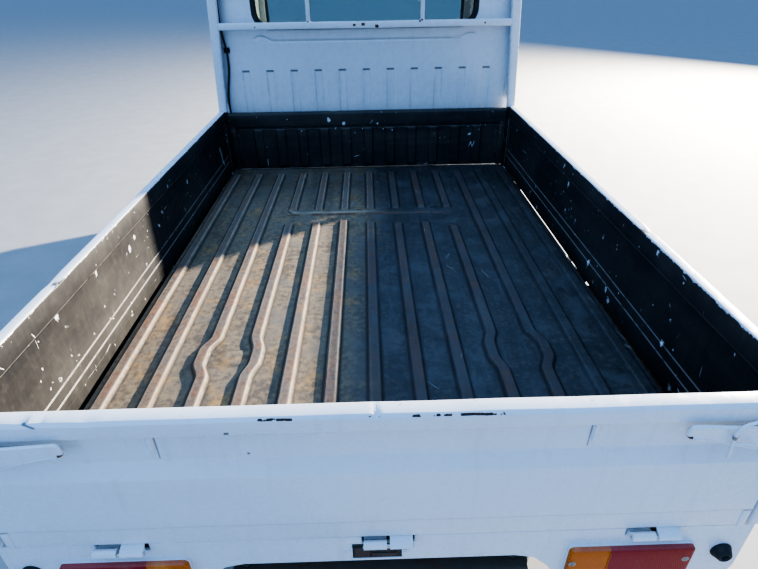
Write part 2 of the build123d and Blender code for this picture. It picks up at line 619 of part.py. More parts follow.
with BuildPart() as lower_arms:
    for name, side in SIDES:
        prism(at_y(FRONT_AXLE_Y + 22), [(side * 330, 256), (side * 330, 296), (side * 400, 262),
                                        (side * 500, 170), (side * 548, 168), (side * 548, 152),
                                        (side * 490, 152)], 44)
        rod_z(140, 176, side * KINGPIN_X, FRONT_AXLE_Y, 8 + PIN_CLEAR, mode=Mode.SUBTRACT)
save(lower_arms, "lower_arms")

with BuildPart() as front_struts:
    for name, side in SIDES:
        rod_z(372, 594, side * 470, FRONT_AXLE_Y, 25)
        block(side * 452, side * 548, FRONT_AXLE_Y - 20, FRONT_AXLE_Y + 20, 372, 386)
        rod_z(371, 387, side * KINGPIN_X, FRONT_AXLE_Y, 8 + PIN_CLEAR, mode=Mode.SUBTRACT)
save(front_struts, "front_struts")

with BuildPart() as steering_rack:
    rod_x(-300, 300, FRONT_AXLE_Y - 120, 270, 22)
    for x in (-250, 250):
        block(x - 15, x + 15, FRONT_AXLE_Y - 120, 955, 258, 282)
save(steering_rack, "steering_rack")

for name, side in SIDES:
    with BuildPart() as knuckle:
        block(side * 512, side * 549, FRONT_AXLE_Y - 20, FRONT_AXLE_Y + 20, 184, 358)
        rod_z(156, 383, side * KINGPIN_X, FRONT_AXLE_Y, 8)
        rod_x(min(side * 545, side * 556), max(side * 545, side * 556), FRONT_AXLE_Y, WHEEL_R, 40)
        rod_x(min(side * 550, side * 556), max(side * 550, side * 556), FRONT_AXLE_Y, WHEEL_R, 92)
        rod_x(min(side * 556, side * 591), max(side * 556, side * 591), FRONT_AXLE_Y, WHEEL_R, 14)
        block(side * 512, side * 530, FRONT_AXLE_Y - 112, FRONT_AXLE_Y - 15, 262, 278)
        rod_z(250, 282, side * 519, FRONT_AXLE_Y - 108, 11)
    save(knuckle, "knuckle_" + name)

# ------------------------------------------------------------------ wheels
# half sections as (distance outwards from the wheel's middle, radius)
RIM_SECTION = [(-40.5, 14.05), (-40.5, 105), (-3, 105), (-3, 142), (-62.5, 142), (-62.5, 165),
               (-56, 165), (-56, 150), (56, 150), (56, 165), (62.5, 165), (62.5, 142), (6, 142),
               (9, 104), (20, 88), (20, 62), (11, 52), (11, 32), (30, 28), (34, 20), (34, 0),
               (-8, 0), (-8, 14.05)]
TYRE_SECTION = [(-56, 150), (-56, 166), (-66, 180), (-72.5, 212), (-69, 244), (-60, 263),
                (-48, WHEEL_R), (48, WHEEL_R), (60, 263), (69, 244), (72.5, 212), (66, 180),
                (56, 166), (56, 150)]
for axle, axle_y in (("front", FRONT_AXLE_Y), ("rear", REAR_AXLE_Y)):
    for name, side in SIDES:
        hub = Plane(origin=(side * WHEEL_X, axle_y, WHEEL_R), x_dir=(side, 0, 0), z_dir=(0, -side, 0))
        spin = Axis((side * WHEEL_X, axle_y, WHEEL_R), (side, 0, 0))
        with BuildPart() as rim:
            with BuildSketch(hub):
                Polygon(*RIM_SECTION, align=None)
            revolve(axis=spin)
        save(rim, "rim_" + axle + "_" + name)
        with BuildPart() as tyre:
            with BuildSketch(hub):
                Polygon(*TYRE_SECTION, align=None)
            revolve(axis=spin)
        save(tyre, "tyre_" + axle + "_" + name)
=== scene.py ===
import math
import random
import bpy
import bmesh
from mathutils import Matrix, Vector, geometry, noise
from mathutils.bvhtree import BVHTree


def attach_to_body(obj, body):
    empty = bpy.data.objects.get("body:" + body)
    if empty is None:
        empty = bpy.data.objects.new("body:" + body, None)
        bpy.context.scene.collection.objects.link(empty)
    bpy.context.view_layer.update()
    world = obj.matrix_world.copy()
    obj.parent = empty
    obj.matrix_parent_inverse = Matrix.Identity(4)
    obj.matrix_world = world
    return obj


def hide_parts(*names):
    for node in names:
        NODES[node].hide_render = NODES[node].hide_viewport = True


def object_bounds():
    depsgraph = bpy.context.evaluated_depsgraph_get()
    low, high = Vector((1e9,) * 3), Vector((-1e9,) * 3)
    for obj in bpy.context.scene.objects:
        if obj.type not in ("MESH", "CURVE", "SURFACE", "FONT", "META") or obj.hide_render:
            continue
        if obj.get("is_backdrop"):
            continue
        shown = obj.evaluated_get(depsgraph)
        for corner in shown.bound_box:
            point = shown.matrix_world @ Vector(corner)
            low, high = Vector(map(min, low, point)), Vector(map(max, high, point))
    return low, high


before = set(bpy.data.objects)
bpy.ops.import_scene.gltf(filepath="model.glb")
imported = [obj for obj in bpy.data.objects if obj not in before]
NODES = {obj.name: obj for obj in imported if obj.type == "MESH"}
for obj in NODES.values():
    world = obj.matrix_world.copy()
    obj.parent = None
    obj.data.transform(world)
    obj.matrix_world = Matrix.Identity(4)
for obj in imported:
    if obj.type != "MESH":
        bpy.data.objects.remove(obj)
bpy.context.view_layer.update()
random.seed(7)
SIDES = (("left", -1), ("right", 1))

# ---------------------------------------------------------------- sizes, mm
GATE_TOP, FLOOR_TOP, FLOOR_BOTTOM = 940.0, 658.5, 646.0
TAIL_IN, TAIL_OUT, TAIL_HALF = -1589.0, -1621.0, 649.0
HEAD_REAR, HEAD_FRONT = 357.5, 387.5
HALF_WIDTH, HALF_LENGTH = 697.5, 1647.5
PANEL_Y = -1613.0
CAB_REAR, CAB_HALF, ROOF_HALF, BELT, CAB_TOP = 417.0, 690.0, 615.0, 1085.0, 1745.0
LEAN = (CAB_HALF - ROOF_HALF) / (CAB_TOP - BELT)
FRONT_AXLE, REAR_AXLE, WHEEL_X, WHEEL_R = 987.0, -853.0, 602.5, 270.0


def cab_half(z, inset=0.0):
    return CAB_HALF - inset - max(0.0, z - BELT) * LEAN


# ------------------------------------------------------------ node helpers
class Mat:
    """A principled material built from nodes; sockets are passed around."""

    def __init__(self, name, rough=0.5, metal=0.0, color=(0.8, 0.8, 0.8)):
        self.m = bpy.data.materials.new(name)
        self.m.use_nodes = True
        self.n = self.m.node_tree.nodes
        self.l = self.m.node_tree.links
        self.b = self.n["Principled BSDF"]
        self.b.inputs["Roughness"].default_value = rough
        self.b.inputs["Metallic"].default_value = metal
        self.b.inputs["Base Color"].default_value = (*color, 1)
        self.m.diffuse_color = (*color, 1)
        tc = self.n.new("ShaderNodeTexCoord")
        self.co = tc.outputs["Object"]
        self._normal = None
        self._sep = None

    def set(self, **kw):
        for k, v in kw.items():
            self.b.inputs[k.replace("_", " ")].default_value = v
        return self

    def put(self, value, socket):
        if isinstance(value, bpy.types.NodeSocket):
            self.l.new(value, socket)
        else:
            if socket.type == "RGBA" and len(value) == 3:
                value = (*value, 1)
            socket.default_value = value

    def stretch(self, scale, offset=(0, 0, 0), vec=None):
        m = self.n.new("ShaderNodeMapping")
        self.put(vec or self.co, m.inputs["Vector"])
        m.inputs["Scale"].default_value = scale
        m.inputs["Location"].default_value = offset
        return m.outputs["Vector"]

    def noise(self, scale, detail=3.0, rough=0.5, vec=None, distortion=0.0):
        t = self.n.new("ShaderNodeTexNoise")
        self.put(vec or self.co, t.inputs["Vector"])
        t.inputs["Scale"].default_value = scale
        t.inputs["Detail"].default_value = detail
        t.inputs["Roughness"].default_value = rough
        t.inputs["Distortion"].default_value = distortion
        return t.outputs["Fac"]

    def voronoi(self, scale, vec=None, feature="F1", out="Distance"):
        t = self.n.new("ShaderNodeTexVoronoi")
        t.feature = feature
        self.put(vec or self.co, t.inputs["Vector"])
        t.inputs["Scale"].default_value = scale
        return t.outputs[out]

    def xyz(self, i):
        if self._sep is None:
            self._sep = self.n.new("ShaderNodeSeparateXYZ")
            self.l.new(self.co, self._sep.inputs[0])
        return self._sep.outputs[i]

    def value(self, name):
        """A value stored on the mesh's points."""
        t = self.n.new("ShaderNodeAttribute")
        t.attribute_name = name
        return t.outputs["Fac"]

    def normal(self, i):
        if self._normal is None:
            tc = self.n.new("ShaderNodeNewGeometry")
            self._normal = self.n.new("ShaderNodeSeparateXYZ")
            self.l.new(tc.outputs["Normal"], self._normal.inputs[0])
        return self._normal.outputs[i]

    def math(self, op, a, b=0.0, clamp=False):
        t = self.n.new("ShaderNodeMath")
        t.operation = op
        t.use_clamp = clamp
        self.put(a, t.inputs[0])
        self.put(b, t.inputs[1])
        return t.outputs[0]

    def mul(self, *values):
        out = values[0]
        for v in values[1:]:
            out = self.math("MULTIPLY", out, v)
        return out

    def add(self, *values):
        out = values[0]
        for v in values[1:]:
            out = self.math("ADD", out, v)
        return out

    def top(self, a, b):
        return self.math("MAXIMUM", a, b)

    def inv(self, a):
        return self.math("SUBTRACT", 1.0, a, clamp=True)

    def step(self, value, low, high):
        """0 at low, 1 at high, smooth between; low may be the larger."""
        t = self.n.new("ShaderNodeMapRange")
        t.interpolation_type = "SMOOTHSTEP"
        t.clamp = True
        self.put(value, t.inputs["Value"])
        if low < high:
            t.inputs["From Min"].default_value = low
            t.inputs["From Max"].default_value = high
            return t.outputs["Result"]
        t.inputs["From Min"].default_value = high
        t.inputs["From Max"].default_value = low
        t.inputs["To Min"].default_value = 1.0
        t.inputs["To Max"].default_value = 0.0
        return t.outputs["Result"]

    def band(self, value, centre, half, soft):
        return self.mul(self.step(value, centre - half - soft, centre - half),
                        self.step(value, centre + half + soft, centre + half))

    def mix(self, fac, a, b):
        t = self.n.new("ShaderNodeMix")
        t.data_type = "RGBA"
        self.put(fac, t.inputs[0])
        self.put(a, t.inputs[6])
        self.put(b, t.inputs[7])
        return t.outputs[2]

    def mixf(self, fac, a, b):
        t = self.n.new("ShaderNodeMix")
        t.data_type = "FLOAT"
        self.put(fac, t.inputs[0])
        self.put(a, t.inputs[2])
        self.put(b, t.inputs[3])
        return t.outputs[0]

    def color(self, value):
        self.put(value, self.b.inputs["Base Color"])
        return self

    def rough(self, value):
        self.put(value, self.b.inputs["Roughness"])
        return self

    def bump(self, *layers):
        """layers are (height socket, strength, distance in m)."""
        out = None
        for height, strength, distance in layers:
            t = self.n.new("ShaderNodeBump")
            t.inputs["Strength"].default_value = strength
            t.inputs["Distance"].default_value = distance
            self.put(height, t.inputs["Height"])
            if out is not None:
                self.l.new(out, t.inputs["Normal"])
            out = t.outputs["Normal"]
        self.l.new(out, self.b.inputs["Normal"])
        return self


# ------------------------------------------------------------ mesh helpers
def finish_mesh(me, angle=34.0):
    bm = bmesh.new()
    bm.from_mesh(me)
    bmesh.ops.remove_doubles(bm, verts=bm.verts, dist=2e-6)
    bmesh.ops.dissolve_degenerate(bm, edges=bm.edges, dist=2e-6)
    bmesh.ops.recalc_face_normals(bm, faces=bm.faces)
    limit = math.radians(angle)
    for f in bm.faces:
        f.smooth = True
    for e in bm.edges:
        e.smooth = len(e.link_faces) == 2 and e.calc_face_angle(0.0) < limit
    bm.to_mesh(me)
    bm.free()


def attach(ob, body, replaces=()):
    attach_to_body(ob, body)
    if replaces:
        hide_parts(*replaces)
    return ob


class Build:
    """Collects many closed shapes, in mm, into one mesh."""

    def __init__(self):
        self.v, self.f, self.k = [], [], []

    def add(self, verts, faces, slot=0):
        base = len(self.v)
        self.v += [tuple(p) for p in verts]
        self.f += [tuple(base + i for i in f) for f in faces]
        self.k += [slot] * len(faces)
        return self

    def rings(self, rings, closed=True, caps=True, slot=0, loop=False):
        """Skins rings of equal count; closed joins each ring's ends."""
        n = len(rings[0])
        verts = [p for r in rings for p in r]
        faces = []
        m = n if closed else n - 1
        count = len(rings) if loop else len(rings) - 1
        for i in range(count):
            j = (i + 1) % len(rings)
            for k in range(m):
                faces.append((i * n + k, i * n + (k + 1) % n, j * n + (k + 1) % n, j * n + k))
        if caps and closed and not loop:
            faces.append(tuple(reversed(range(n))))
            faces.append(tuple((len(rings) - 1) * n + k for k in range(n)))
        return self.add(verts, faces, slot)

    def prism(self, outline, place, stations, slot=0, caps=True):
        """outline is 2-D; place(u, v, s) gives the 3-D point at station s."""
        return self.rings([[place(u, v, s) for u, v in outline] for s in stations], slot=slot, caps=caps)

    def tube(self, path, radius, sides=10, slot=0, loop=False):
        pts = [Vector(p) for p in path]
        n = len(pts)
        rings = []
        side = None
        for i, p in enumerate(pts):
            a = pts[i - 1] if (i or loop) else p
            b = pts[(i + 1) % n] if (i + 1 < n or loop) else p
            t = (b - a).normalized()
            if side is None:
                side = t.orthogonal().normalized()
            side = (side - t * side.dot(t)).normalized()
            top = t.cross(side)
            r = radius(i / (n - 1)) if callable(radius) else radius
            rings.append([p + side * (r * math.cos(2 * math.pi * k / sides)) + top * (r * math.sin(2 * math.pi * k / sides))
                          for k in range(sides)])
        return self.rings(rings, slot=slot, loop=loop)

    def lathe(self, section, centre, axis, sides=32, slot=0, closed=False):
        """section: (distance along axis, radius) in order."""
        axis = Vector(axis).normalized()
        side = axis.orthogonal().normalized()
        top = axis.cross(side)
        c = Vector(centre)
        rings = []
        for k in range(sides):
            a = 2 * math.pi * k / sides
            d = side * math.cos(a) + top * math.sin(a)
            rings.append([c + axis * s + d * max(r, 0.0) for s, r in section])
        return self.rings(rings, closed=closed, caps=False, slot=slot, loop=True)

    def box(self, x0, x1, y0, y1, z0, z1, r=2.0, slot=0, seg=2, turn=None):
        """A box with rounded edges; turn is an optional function on points."""
        x0, x1 = sorted((x0, x1))
        y0, y1 = sorted((y0, y1))
        z0, z1 = sorted((z0, z1))
        r = min(r, (x1 - x0) * 0.49, (y1 - y0) * 0.49, (z1 - z0) * 0.49)
        rings = []
        steps = [(k, z0, 1) for k in range(seg + 1)] + [(seg - k, z1, -1) for k in range(seg + 1)]
        for k, zz, sign in steps:
            a = math.pi / 2 * k / seg
            inset = r * (1 - math.sin(a))
            z = zz + sign * r * (1 - math.cos(a))
            ring = []
            for cx, cy, start in ((x1 - r, y1 - r, 0), (x0 + r, y1 - r, 90), (x0 + r, y0 + r, 180), (x1 - r, y0 + r, 270)):
                for q in range(seg + 1):
                    w = math.radians(start + 90 * q / seg)
                    ring.append((cx + (r - inset) * math.cos(w), cy + (r - inset) * math.sin(w), z))
            rings.append([turn(*p) for p in ring] if turn else ring)
        return self.rings(rings, slot=slot)

    def plate(self, outline, place, thick, edge=1.0, slot=0):
        """A flat plate from a 2-D outline, edges rounded by edge; place(u, v, w)."""
        c = Vector((sum(p[0] for p in outline) / len(outline), sum(p[1] for p in outline) / len(outline)))
        inner = inset_outline(outline, edge)
        rings = [[place(u, v, 0) for u, v in inner], [place(u, v, edge) for u, v in outline],
                 [place(u, v, thick - edge) for u, v in outline], [place(u, v, thick) for u, v in inner]]
        return self.rings(rings, slot=slot)

    def make(self, name, mats, body, angle=34.0, replaces=(), values=None):
        """values: {name: one number a point}, readable in a material."""
        mats = mats if isinstance(mats, (list, tuple)) else [mats]
        me = bpy.data.meshes.new(name)
        me.from_pydata([(x * 0.001, y * 0.001, z * 0.001) for x, y, z in self.v], [], self.f)
        me.update()
        for key, numbers in (values or {}).items():
            me.attributes.new(key, "FLOAT", "POINT").data.foreach_set("value", numbers)
        me.polygons.foreach_set("material_index", self.k)
        finish_mesh(me, angle)
        ob = bpy.data.objects.new(name, me)
        bpy.context.scene.collection.objects.link(ob)
        for m in mats:
            me.materials.append(m)
        return attach(ob, body, replaces)


def round_outline(points, radius, seg=4):
    """Rounds the corners of a closed outline; radius is one number or a list."""
    n = len(points)
    out = []
    for i in range(n):
        r = radius[i] if hasattr(radius, "__len__") else radius
        p = Vector(points[i])
        a = Vector(points[i - 1]) - p
        b = Vector(points[(i + 1) % n]) - p
        la, lb = a.length, b.length
        if r <= 0 or la < 1e-6 or lb < 1e-6:
            out.append(tuple(p))
            continue
        a.normalize()
        b.normalize()
        ang = math.acos(max(-1, min(1, a.dot(b))))
        if ang > math.pi - 0.02:
            out.append(tuple(p))
            continue
        t = min(r / math.tan(ang / 2), la * 0.48, lb * 0.48)
        rr = t * math.tan(ang / 2)
        centre = p + (a + b).normalized() * (rr / math.sin(ang / 2))
        s, e = p + a * t - centre, p + b * t - centre
        total = math.atan2(s.x * e.y - s.y * e.x, s.dot(e))
        for k in range(seg + 1):
            w = total * k / seg
            out.append((centre.x + s.x * math.cos(w) - s.y * math.sin(w),
                        centre.y + s.x * math.sin(w) + s.y * math.cos(w)))
    return out


def inset_outline(outline, amount):
    """Moves every point of an outline inwards along its corner's middle."""
    n = len(outline)
    area = sum(outline[i - 1][0] * outline[i][1] - outline[i][0] * outline[i - 1][1] for i in range(n))
    sign = 1 if area > 0 else -1
    out = []
    for i in range(n):
        p = Vector(outline[i])
        a = (p - Vector(outline[i - 1]))
        b = (Vector(outline[(i + 1) % n]) - p)
        if a.length < 1e-9:
            a = b
        if b.length < 1e-9:
            b = a
        a, b = a.normalized(), b.normalized()
        na, nb = Vector((-a.y, a.x)) * sign, Vector((-b.y, b.x)) * sign
        m = na + nb
        m = m.normalized() if m.length > 1e-6 else na
        q = p + m * (amount / max(0.5, m.dot(na)))
        out.append(tuple(q))
    return out


def stations(a, b, step):
    n = max(1, round(abs(b - a) / step))
    return [a + (b - a) * i / n for i in range(n + 1)]


def merged(*lists):
    out = []
    for v in sorted(x for one in lists for x in one):
        if not out or v - out[-1] > 0.4:
            out.append(v)
    return out


def smooth(t):
    t = max(0.0, min(1.0, t))
    return t * t * (3 - 2 * t)


def bell(x, centre, width):
    return math.exp(-((x - centre) / width) ** 2)


def wob(x, y, z, size, seed=0.0):
    """Slow even noise in -1..1 for hammered, used sheet metal."""
    return noise.noise(Vector((x / size + seed, y / size - seed, z / size + 0.37 * seed)))

# ------------------------------------------------------ pressed panels
def inside(p, poly):
    """True when the 2-D point lies inside the polygon."""
    x, y = p
    hit = False
    j = len(poly) - 1
    for i in range(len(poly)):
        xi, yi = poly[i]
        xj, yj = poly[j]
        if (yi > y) != (yj > y) and x < (xj - xi) * (y - yi) / (yj - yi) + xi:
            hit = not hit
        j = i
    return hit


def dense_outline(poly, step):
    """Adds points so that no side of the outline is longer than step."""
    out = []
    n = len(poly)
    for i in range(n):
        a, b = Vector(poly[i]), Vector(poly[(i + 1) % n])
        k = max(1, int(math.ceil((b - a).length / step)))
        out += [tuple(a + (b - a) * q / k) for q in range(k)]
    return out


def near_outline(p, poly, gap):
    q = Vector(p)
    for i in range(len(poly)):
        a, b = Vector(poly[i - 1]), Vector(poly[i])
        d = b - a
        t = 0.0 if d.length_squared == 0 else max(0.0, min(1.0, (q - a).dot(d) / d.length_squared))
        if (q - (a + d * t)).length < gap:
            return True
    return False


def sheet(b, outline, holes, us, vs, place, slot=0, step=30.0, gap=None):
    """A closed pressed panel: place(u, v, w) gives the outside at w = 0 and the inside at w = 1."""
    outer = dense_outline(outline, step)
    loops = [outer] + [dense_outline(h, step) for h in holes]
    gap = step * 0.12 if gap is None else gap
    pts, edges = [], []
    for loop in loops:
        base = len(pts)
        pts += [Vector(p) for p in loop]
        edges += [(base + i, base + (i + 1) % len(loop)) for i in range(len(loop))]
    for u in us:
        for v in vs:
            p = (u, v)
            if inside(p, outer) and not any(inside(p, h) for h in loops[1:]) and not any(near_outline(p, h, gap) for h in loops):
                pts.append(Vector(p))
    verts, _, faces, *_ = geometry.delaunay_2d_cdt(pts, edges, [], 0, 1e-4)
    kept = []
    for f in faces:
        c = (sum(verts[i].x for i in f) / len(f), sum(verts[i].y for i in f) / len(f))
        if inside(c, outer) and not any(inside(c, h) for h in loops[1:]):
            kept.append(tuple(f))
    n = len(verts)
    used = {}
    for f in kept:
        for i in range(len(f)):
            used[(f[i], f[(i + 1) % len(f)])] = True
    points = [place(v.x, v.y, 0) for v in verts] + [place(v.x, v.y, 1) for v in verts]
    out = list(kept) + [tuple(n + i for i in reversed(f)) for f in kept]
    for a, c in used:
        if (c, a) not in used:
            out.append((c, a, n + a, n + c))
    live = sorted({i for f in out for i in f})
    index = {k: i for i, k in enumerate(live)}
    b.add([points[k] for k in live], [tuple(index[i] for i in f) for f in out], slot)
    return b


def polyline_at(points, value):
    """Linear interpolation in a list of (value, result)."""
    if value <= points[0][0]:
        return points[0][1]
    for (a, fa), (c, fc) in zip(points, points[1:]):
        if value <= c:
            return fa + (fc - fa) * (value - a) / (c - a)
    return points[-1][1]


def ring_tube(b, outline, place, radius, sides=8, slot=0):
    """A closed round bead along a 2-D outline."""
    return b.tube([place(u, v) for u, v in outline], radius, sides, slot, loop=True)


def strip(b, outline, place, half, low, high, slot=0):
    """A closed flat-topped moulding along an outline: half wide, from low to high."""
    rings = []
    a, c = inset_outline(outline, -half), inset_outline(outline, half)
    a2, c2 = inset_outline(outline, -half * 0.7), inset_outline(outline, half * 0.7)
    for loop, w in ((a, low), (a, low + (high - low) * 0.6), (a2, high), (c2, high), (c, low + (high - low) * 0.6), (c, low)):
        rings.append([place(u, v, w) for u, v in loop])
    return b.rings(rings, loop=True, slot=slot)


# ================================================= carried-over CAD nodes
def finish_cad(node, mat, bevel=1.6, segments=2, angle=32.0):
    ob = NODES[node]
    ob.data.materials.clear()
    ob.data.materials.append(mat)
    if bevel:
        mod = ob.modifiers.new("edges", "BEVEL")
        mod.width = bevel * 0.001
        mod.segments = segments
        mod.limit_method = "ANGLE"
        mod.angle_limit = math.radians(angle)
        mod.harden_normals = False
        mod.use_clamp_overlap = True
        mod.loop_slide = True
    return ob

# ------------------------------------------------------------- materials
WHITE = (0.72, 0.755, 0.79)
WHITE_DULL = (0.57, 0.60, 0.61)
BLACK = (0.013, 0.014, 0.017)
BLACK_WORN = (0.050, 0.048, 0.046)
DUST = (0.33, 0.25, 0.165)
MUD = (0.15, 0.115, 0.08)
RUST = (0.19, 0.070, 0.030)
RUST_DARK = (0.050, 0.024, 0.017)
RUST_PALE = (0.40, 0.20, 0.10)


def white_base(m, dirt=0.5, specks=1.0):
    """Aged white enamel: faint grime clouds, rain streaks and rust specks."""
    clouds = m.noise(2.3, 5, 0.6)
    fine = m.noise(34, 4, 0.65)
    streak = m.noise(1.0, 3, 0.6, vec=m.stretch((42, 42, 2.4)))
    col = m.mix(m.mul(m.step(clouds, 0.40, 0.74), 0.45 * dirt), WHITE, WHITE_DULL)
    col = m.mix(m.mul(m.step(streak, 0.52, 0.80), 0.34 * dirt), col, (0.44, 0.43, 0.40))
    col = m.mix(m.mul(m.step(fine, 0.58, 0.80), 0.20 * dirt), col, (0.40, 0.35, 0.29))
    cell = m.voronoi(24)
    pick = m.noise(6.3, 2, 0.5)
    sel = m.step(pick, 0.62, 0.67)
    spots = m.mul(m.step(m.math("ADD", cell, m.mul(fine, 0.05)), 0.105, 0.075), sel, specks)
    halo = m.mul(m.step(cell, 0.22, 0.06), sel, 0.4 * specks)
    col = m.mix(halo, col, (0.52, 0.39, 0.27))
    col = m.mix(spots, col, RUST)
    rough = m.mixf(m.step(fine, 0.45, 0.75), 0.27, 0.46)
    return col, rough, fine, spots


def ragged(m, wear, scale=95.0, gain=0.9):
    """Turns a soft wear mask (0..1) into a torn edge; returns (bare, rim)."""
    rag = m.noise(scale, 5, 0.78)
    t = m.add(wear, m.mul(rag, gain))
    return m.step(t, 1.02, 1.06), m.step(t, 0.95, 1.04)


def make_white(name, dirt=0.5, specks=1.0, chips=None, coat=0.15, black=None):
    """White enamel; chips(m) gives a mask of worn places, black(m) one of places painted black, brushed over or
    standing in as painted shade.
    """
    m = Mat(name, 0.36, 0, WHITE)
    col, rough, fine, spots = white_base(m, dirt, specks)
    if black:
        col = m.mix(black(m), col, m.mix(m.step(fine, 0.45, 0.75), BLACK, BLACK_WORN))
    hammered = m.noise(3.1, 2, 0.5)
    orange = m.noise(230, 2, 0.5)
    if chips:
        bare, rim = ragged(m, chips(m))
        col = m.mix(m.mul(rim, 0.55), col, (0.47, 0.33, 0.22))
        col = m.mix(bare, col, m.mix(m.step(m.noise(70, 2, 0.5), 0.4, 0.6), RUST, RUST_DARK))
        rough = m.mixf(bare, rough, 0.8)
        m.bump((orange, 0.05, 0.0004), (m.inv(bare), 0.5, 0.0005), (hammered, 0.30, 0.005))
    else:
        m.bump((orange, 0.05, 0.0004), (hammered, 0.30, 0.005))
    m.color(col).rough(rough)
    m.set(Coat_Weight=coat, Coat_Roughness=0.18)
    return m.m


def scratch_mask(m, scale, seed, keep, stretch_vec, thin=(0.010, 0.024)):
    """Sparse long scratches: edges of stretched cells, kept in a few spots."""
    vec = m.stretch(stretch_vec, (seed, seed * 0.7, seed * 1.3))
    vor = m.voronoi(scale, vec=vec, feature="DISTANCE_TO_EDGE")
    sel = m.noise(scale * 1.7, 2, 0.5, vec=vec)
    return m.mul(m.step(vor, thin[1], thin[0]), m.step(sel, keep, keep + 0.04))


def flake_mask(m, scale, seed, keep, stretch_vec=(1, 1, 1), size=0.16):
    """Sparse flakes with torn outlines."""
    vec = m.stretch(stretch_vec, (seed, seed * 0.7, seed * 1.3))
    cell = m.voronoi(scale, vec=vec)
    rag = m.noise(scale * 6, 4, 0.8)
    pick = m.noise(scale * 0.37, 2, 0.6, vec=vec)
    t = m.add(cell, m.mul(rag, 0.48))
    return m.mul(m.step(t, size + 0.238, size + 0.218), m.step(pick, keep, keep + 0.03))


# black paint brushed over white: used inside the load bed
def black_over_white(m, white_zone, crease_wear_and_highlight=(), chips=1.0, dusty=0.5, flake_keep=0.60):
    x, y, z = m.xyz(0), m.xyz(1), m.xyz(2)
    fine = m.noise(42, 4, 0.65)
    cloud = m.noise(3.4, 5, 0.62)
    wipe = m.noise(1.0, 4, 0.6, vec=m.stretch((2.2, 1.1, 26)))
    black = m.mix(m.step(cloud, 0.35, 0.75), BLACK, BLACK_WORN)
    black = m.mix(m.mul(m.step(wipe, 0.36, 0.86), 0.60 * dusty), black, (0.15, 0.135, 0.108))
    # brush marks painted paler: real brush streaks shown with a painted sheen of light grazing them
    brush_and_sheen = m.noise(1.0, 4, 0.7, vec=m.stretch((90, 90, 7)))
    black = m.mix(m.mul(m.step(brush_and_sheen, 0.42, 0.78), 0.11), black, (0.13, 0.125, 0.100))
    black = m.mix(m.mul(m.step(fine, 0.56, 0.74), 0.35 * dusty), black, (0.20, 0.165, 0.125))
    # crease lines painted pale: partly worn paint on the fold edges, partly a painted highlight where the folds catch
    # the light
    for zz, half in crease_wear_and_highlight:
        line = m.mul(m.band(z, zz * 0.001, half * 0.001, 0.0012), m.step(m.noise(28, 3, 0.6), 0.30, 0.48))
        black = m.mix(m.mul(line, 0.60), black, (0.27, 0.255, 0.24))
    white, rough, wf, spots = white_base(m, 0.55, 0.6)
    flakes = m.top(flake_mask(m, 17, 3.1, flake_keep, (1, 1, 0.8), 0.13),
                   m.top(flake_mask(m, 46, 9.7, flake_keep - 0.03, (1, 1, 0.7), 0.10),
                         m.top(scratch_mask(m, 7, 1.3, 0.66, (1, 2.6, 1.0), (0.004, 0.012)),
                               scratch_mask(m, 5, 5.2, 0.68, (1, 0.5, 3.2), (0.004, 0.011)))))
    flakes = m.mul(flakes, chips)
    zone = m.top(white_zone, flakes)
    col = m.mix(zone, black, white)
    m.color(col)
    m.rough(m.mixf(zone, m.mixf(m.step(fine, 0.4, 0.7), 0.50, 0.60), rough))
    m.bump((m.noise(260, 2, 0.5), 0.06, 0.0004), (m.inv(flakes), 0.35, 0.0004), (cloud, 0.30, 0.003))
    return m


LIP_CHIPS = [(-0.1635, 0.008, 0.64), (-0.139, 0.010, 0.64), (-0.237, 0.014, 0.30), (-0.299, 0.010, 0.26), (-0.45, 0.02, 0.22),
             (-0.002, 0.008, 0.46), (0.074, 0.016, 0.68), (0.105, 0.004, 0.5), (0.138, 0.012, 0.66), (0.172, 0.016, 0.60), (0.250, 0.014, 0.34),
             (0.320, 0.016, 0.32), (0.50, 0.02, 0.22)]


def tail_chips(m):
    x, y, z = m.xyz(0), m.xyz(1), m.xyz(2)
    edge = m.band(m.add(z, m.mul(m.noise(26, 3, 0.6), 0.003)), 0.9397, 0.0011, 0.0019)
    back = m.step(y, -1.6145, -1.6180)
    out = None
    for centre, half, strength in LIP_CHIPS:
        one = m.mul(m.band(x, centre, half, 0.012), strength)
        out = one if out is None else m.top(out, one)
    return m.mul(edge, back, m.add(out, 0.10), m.step(m.noise(38, 3, 0.6), 0.30, 0.50))


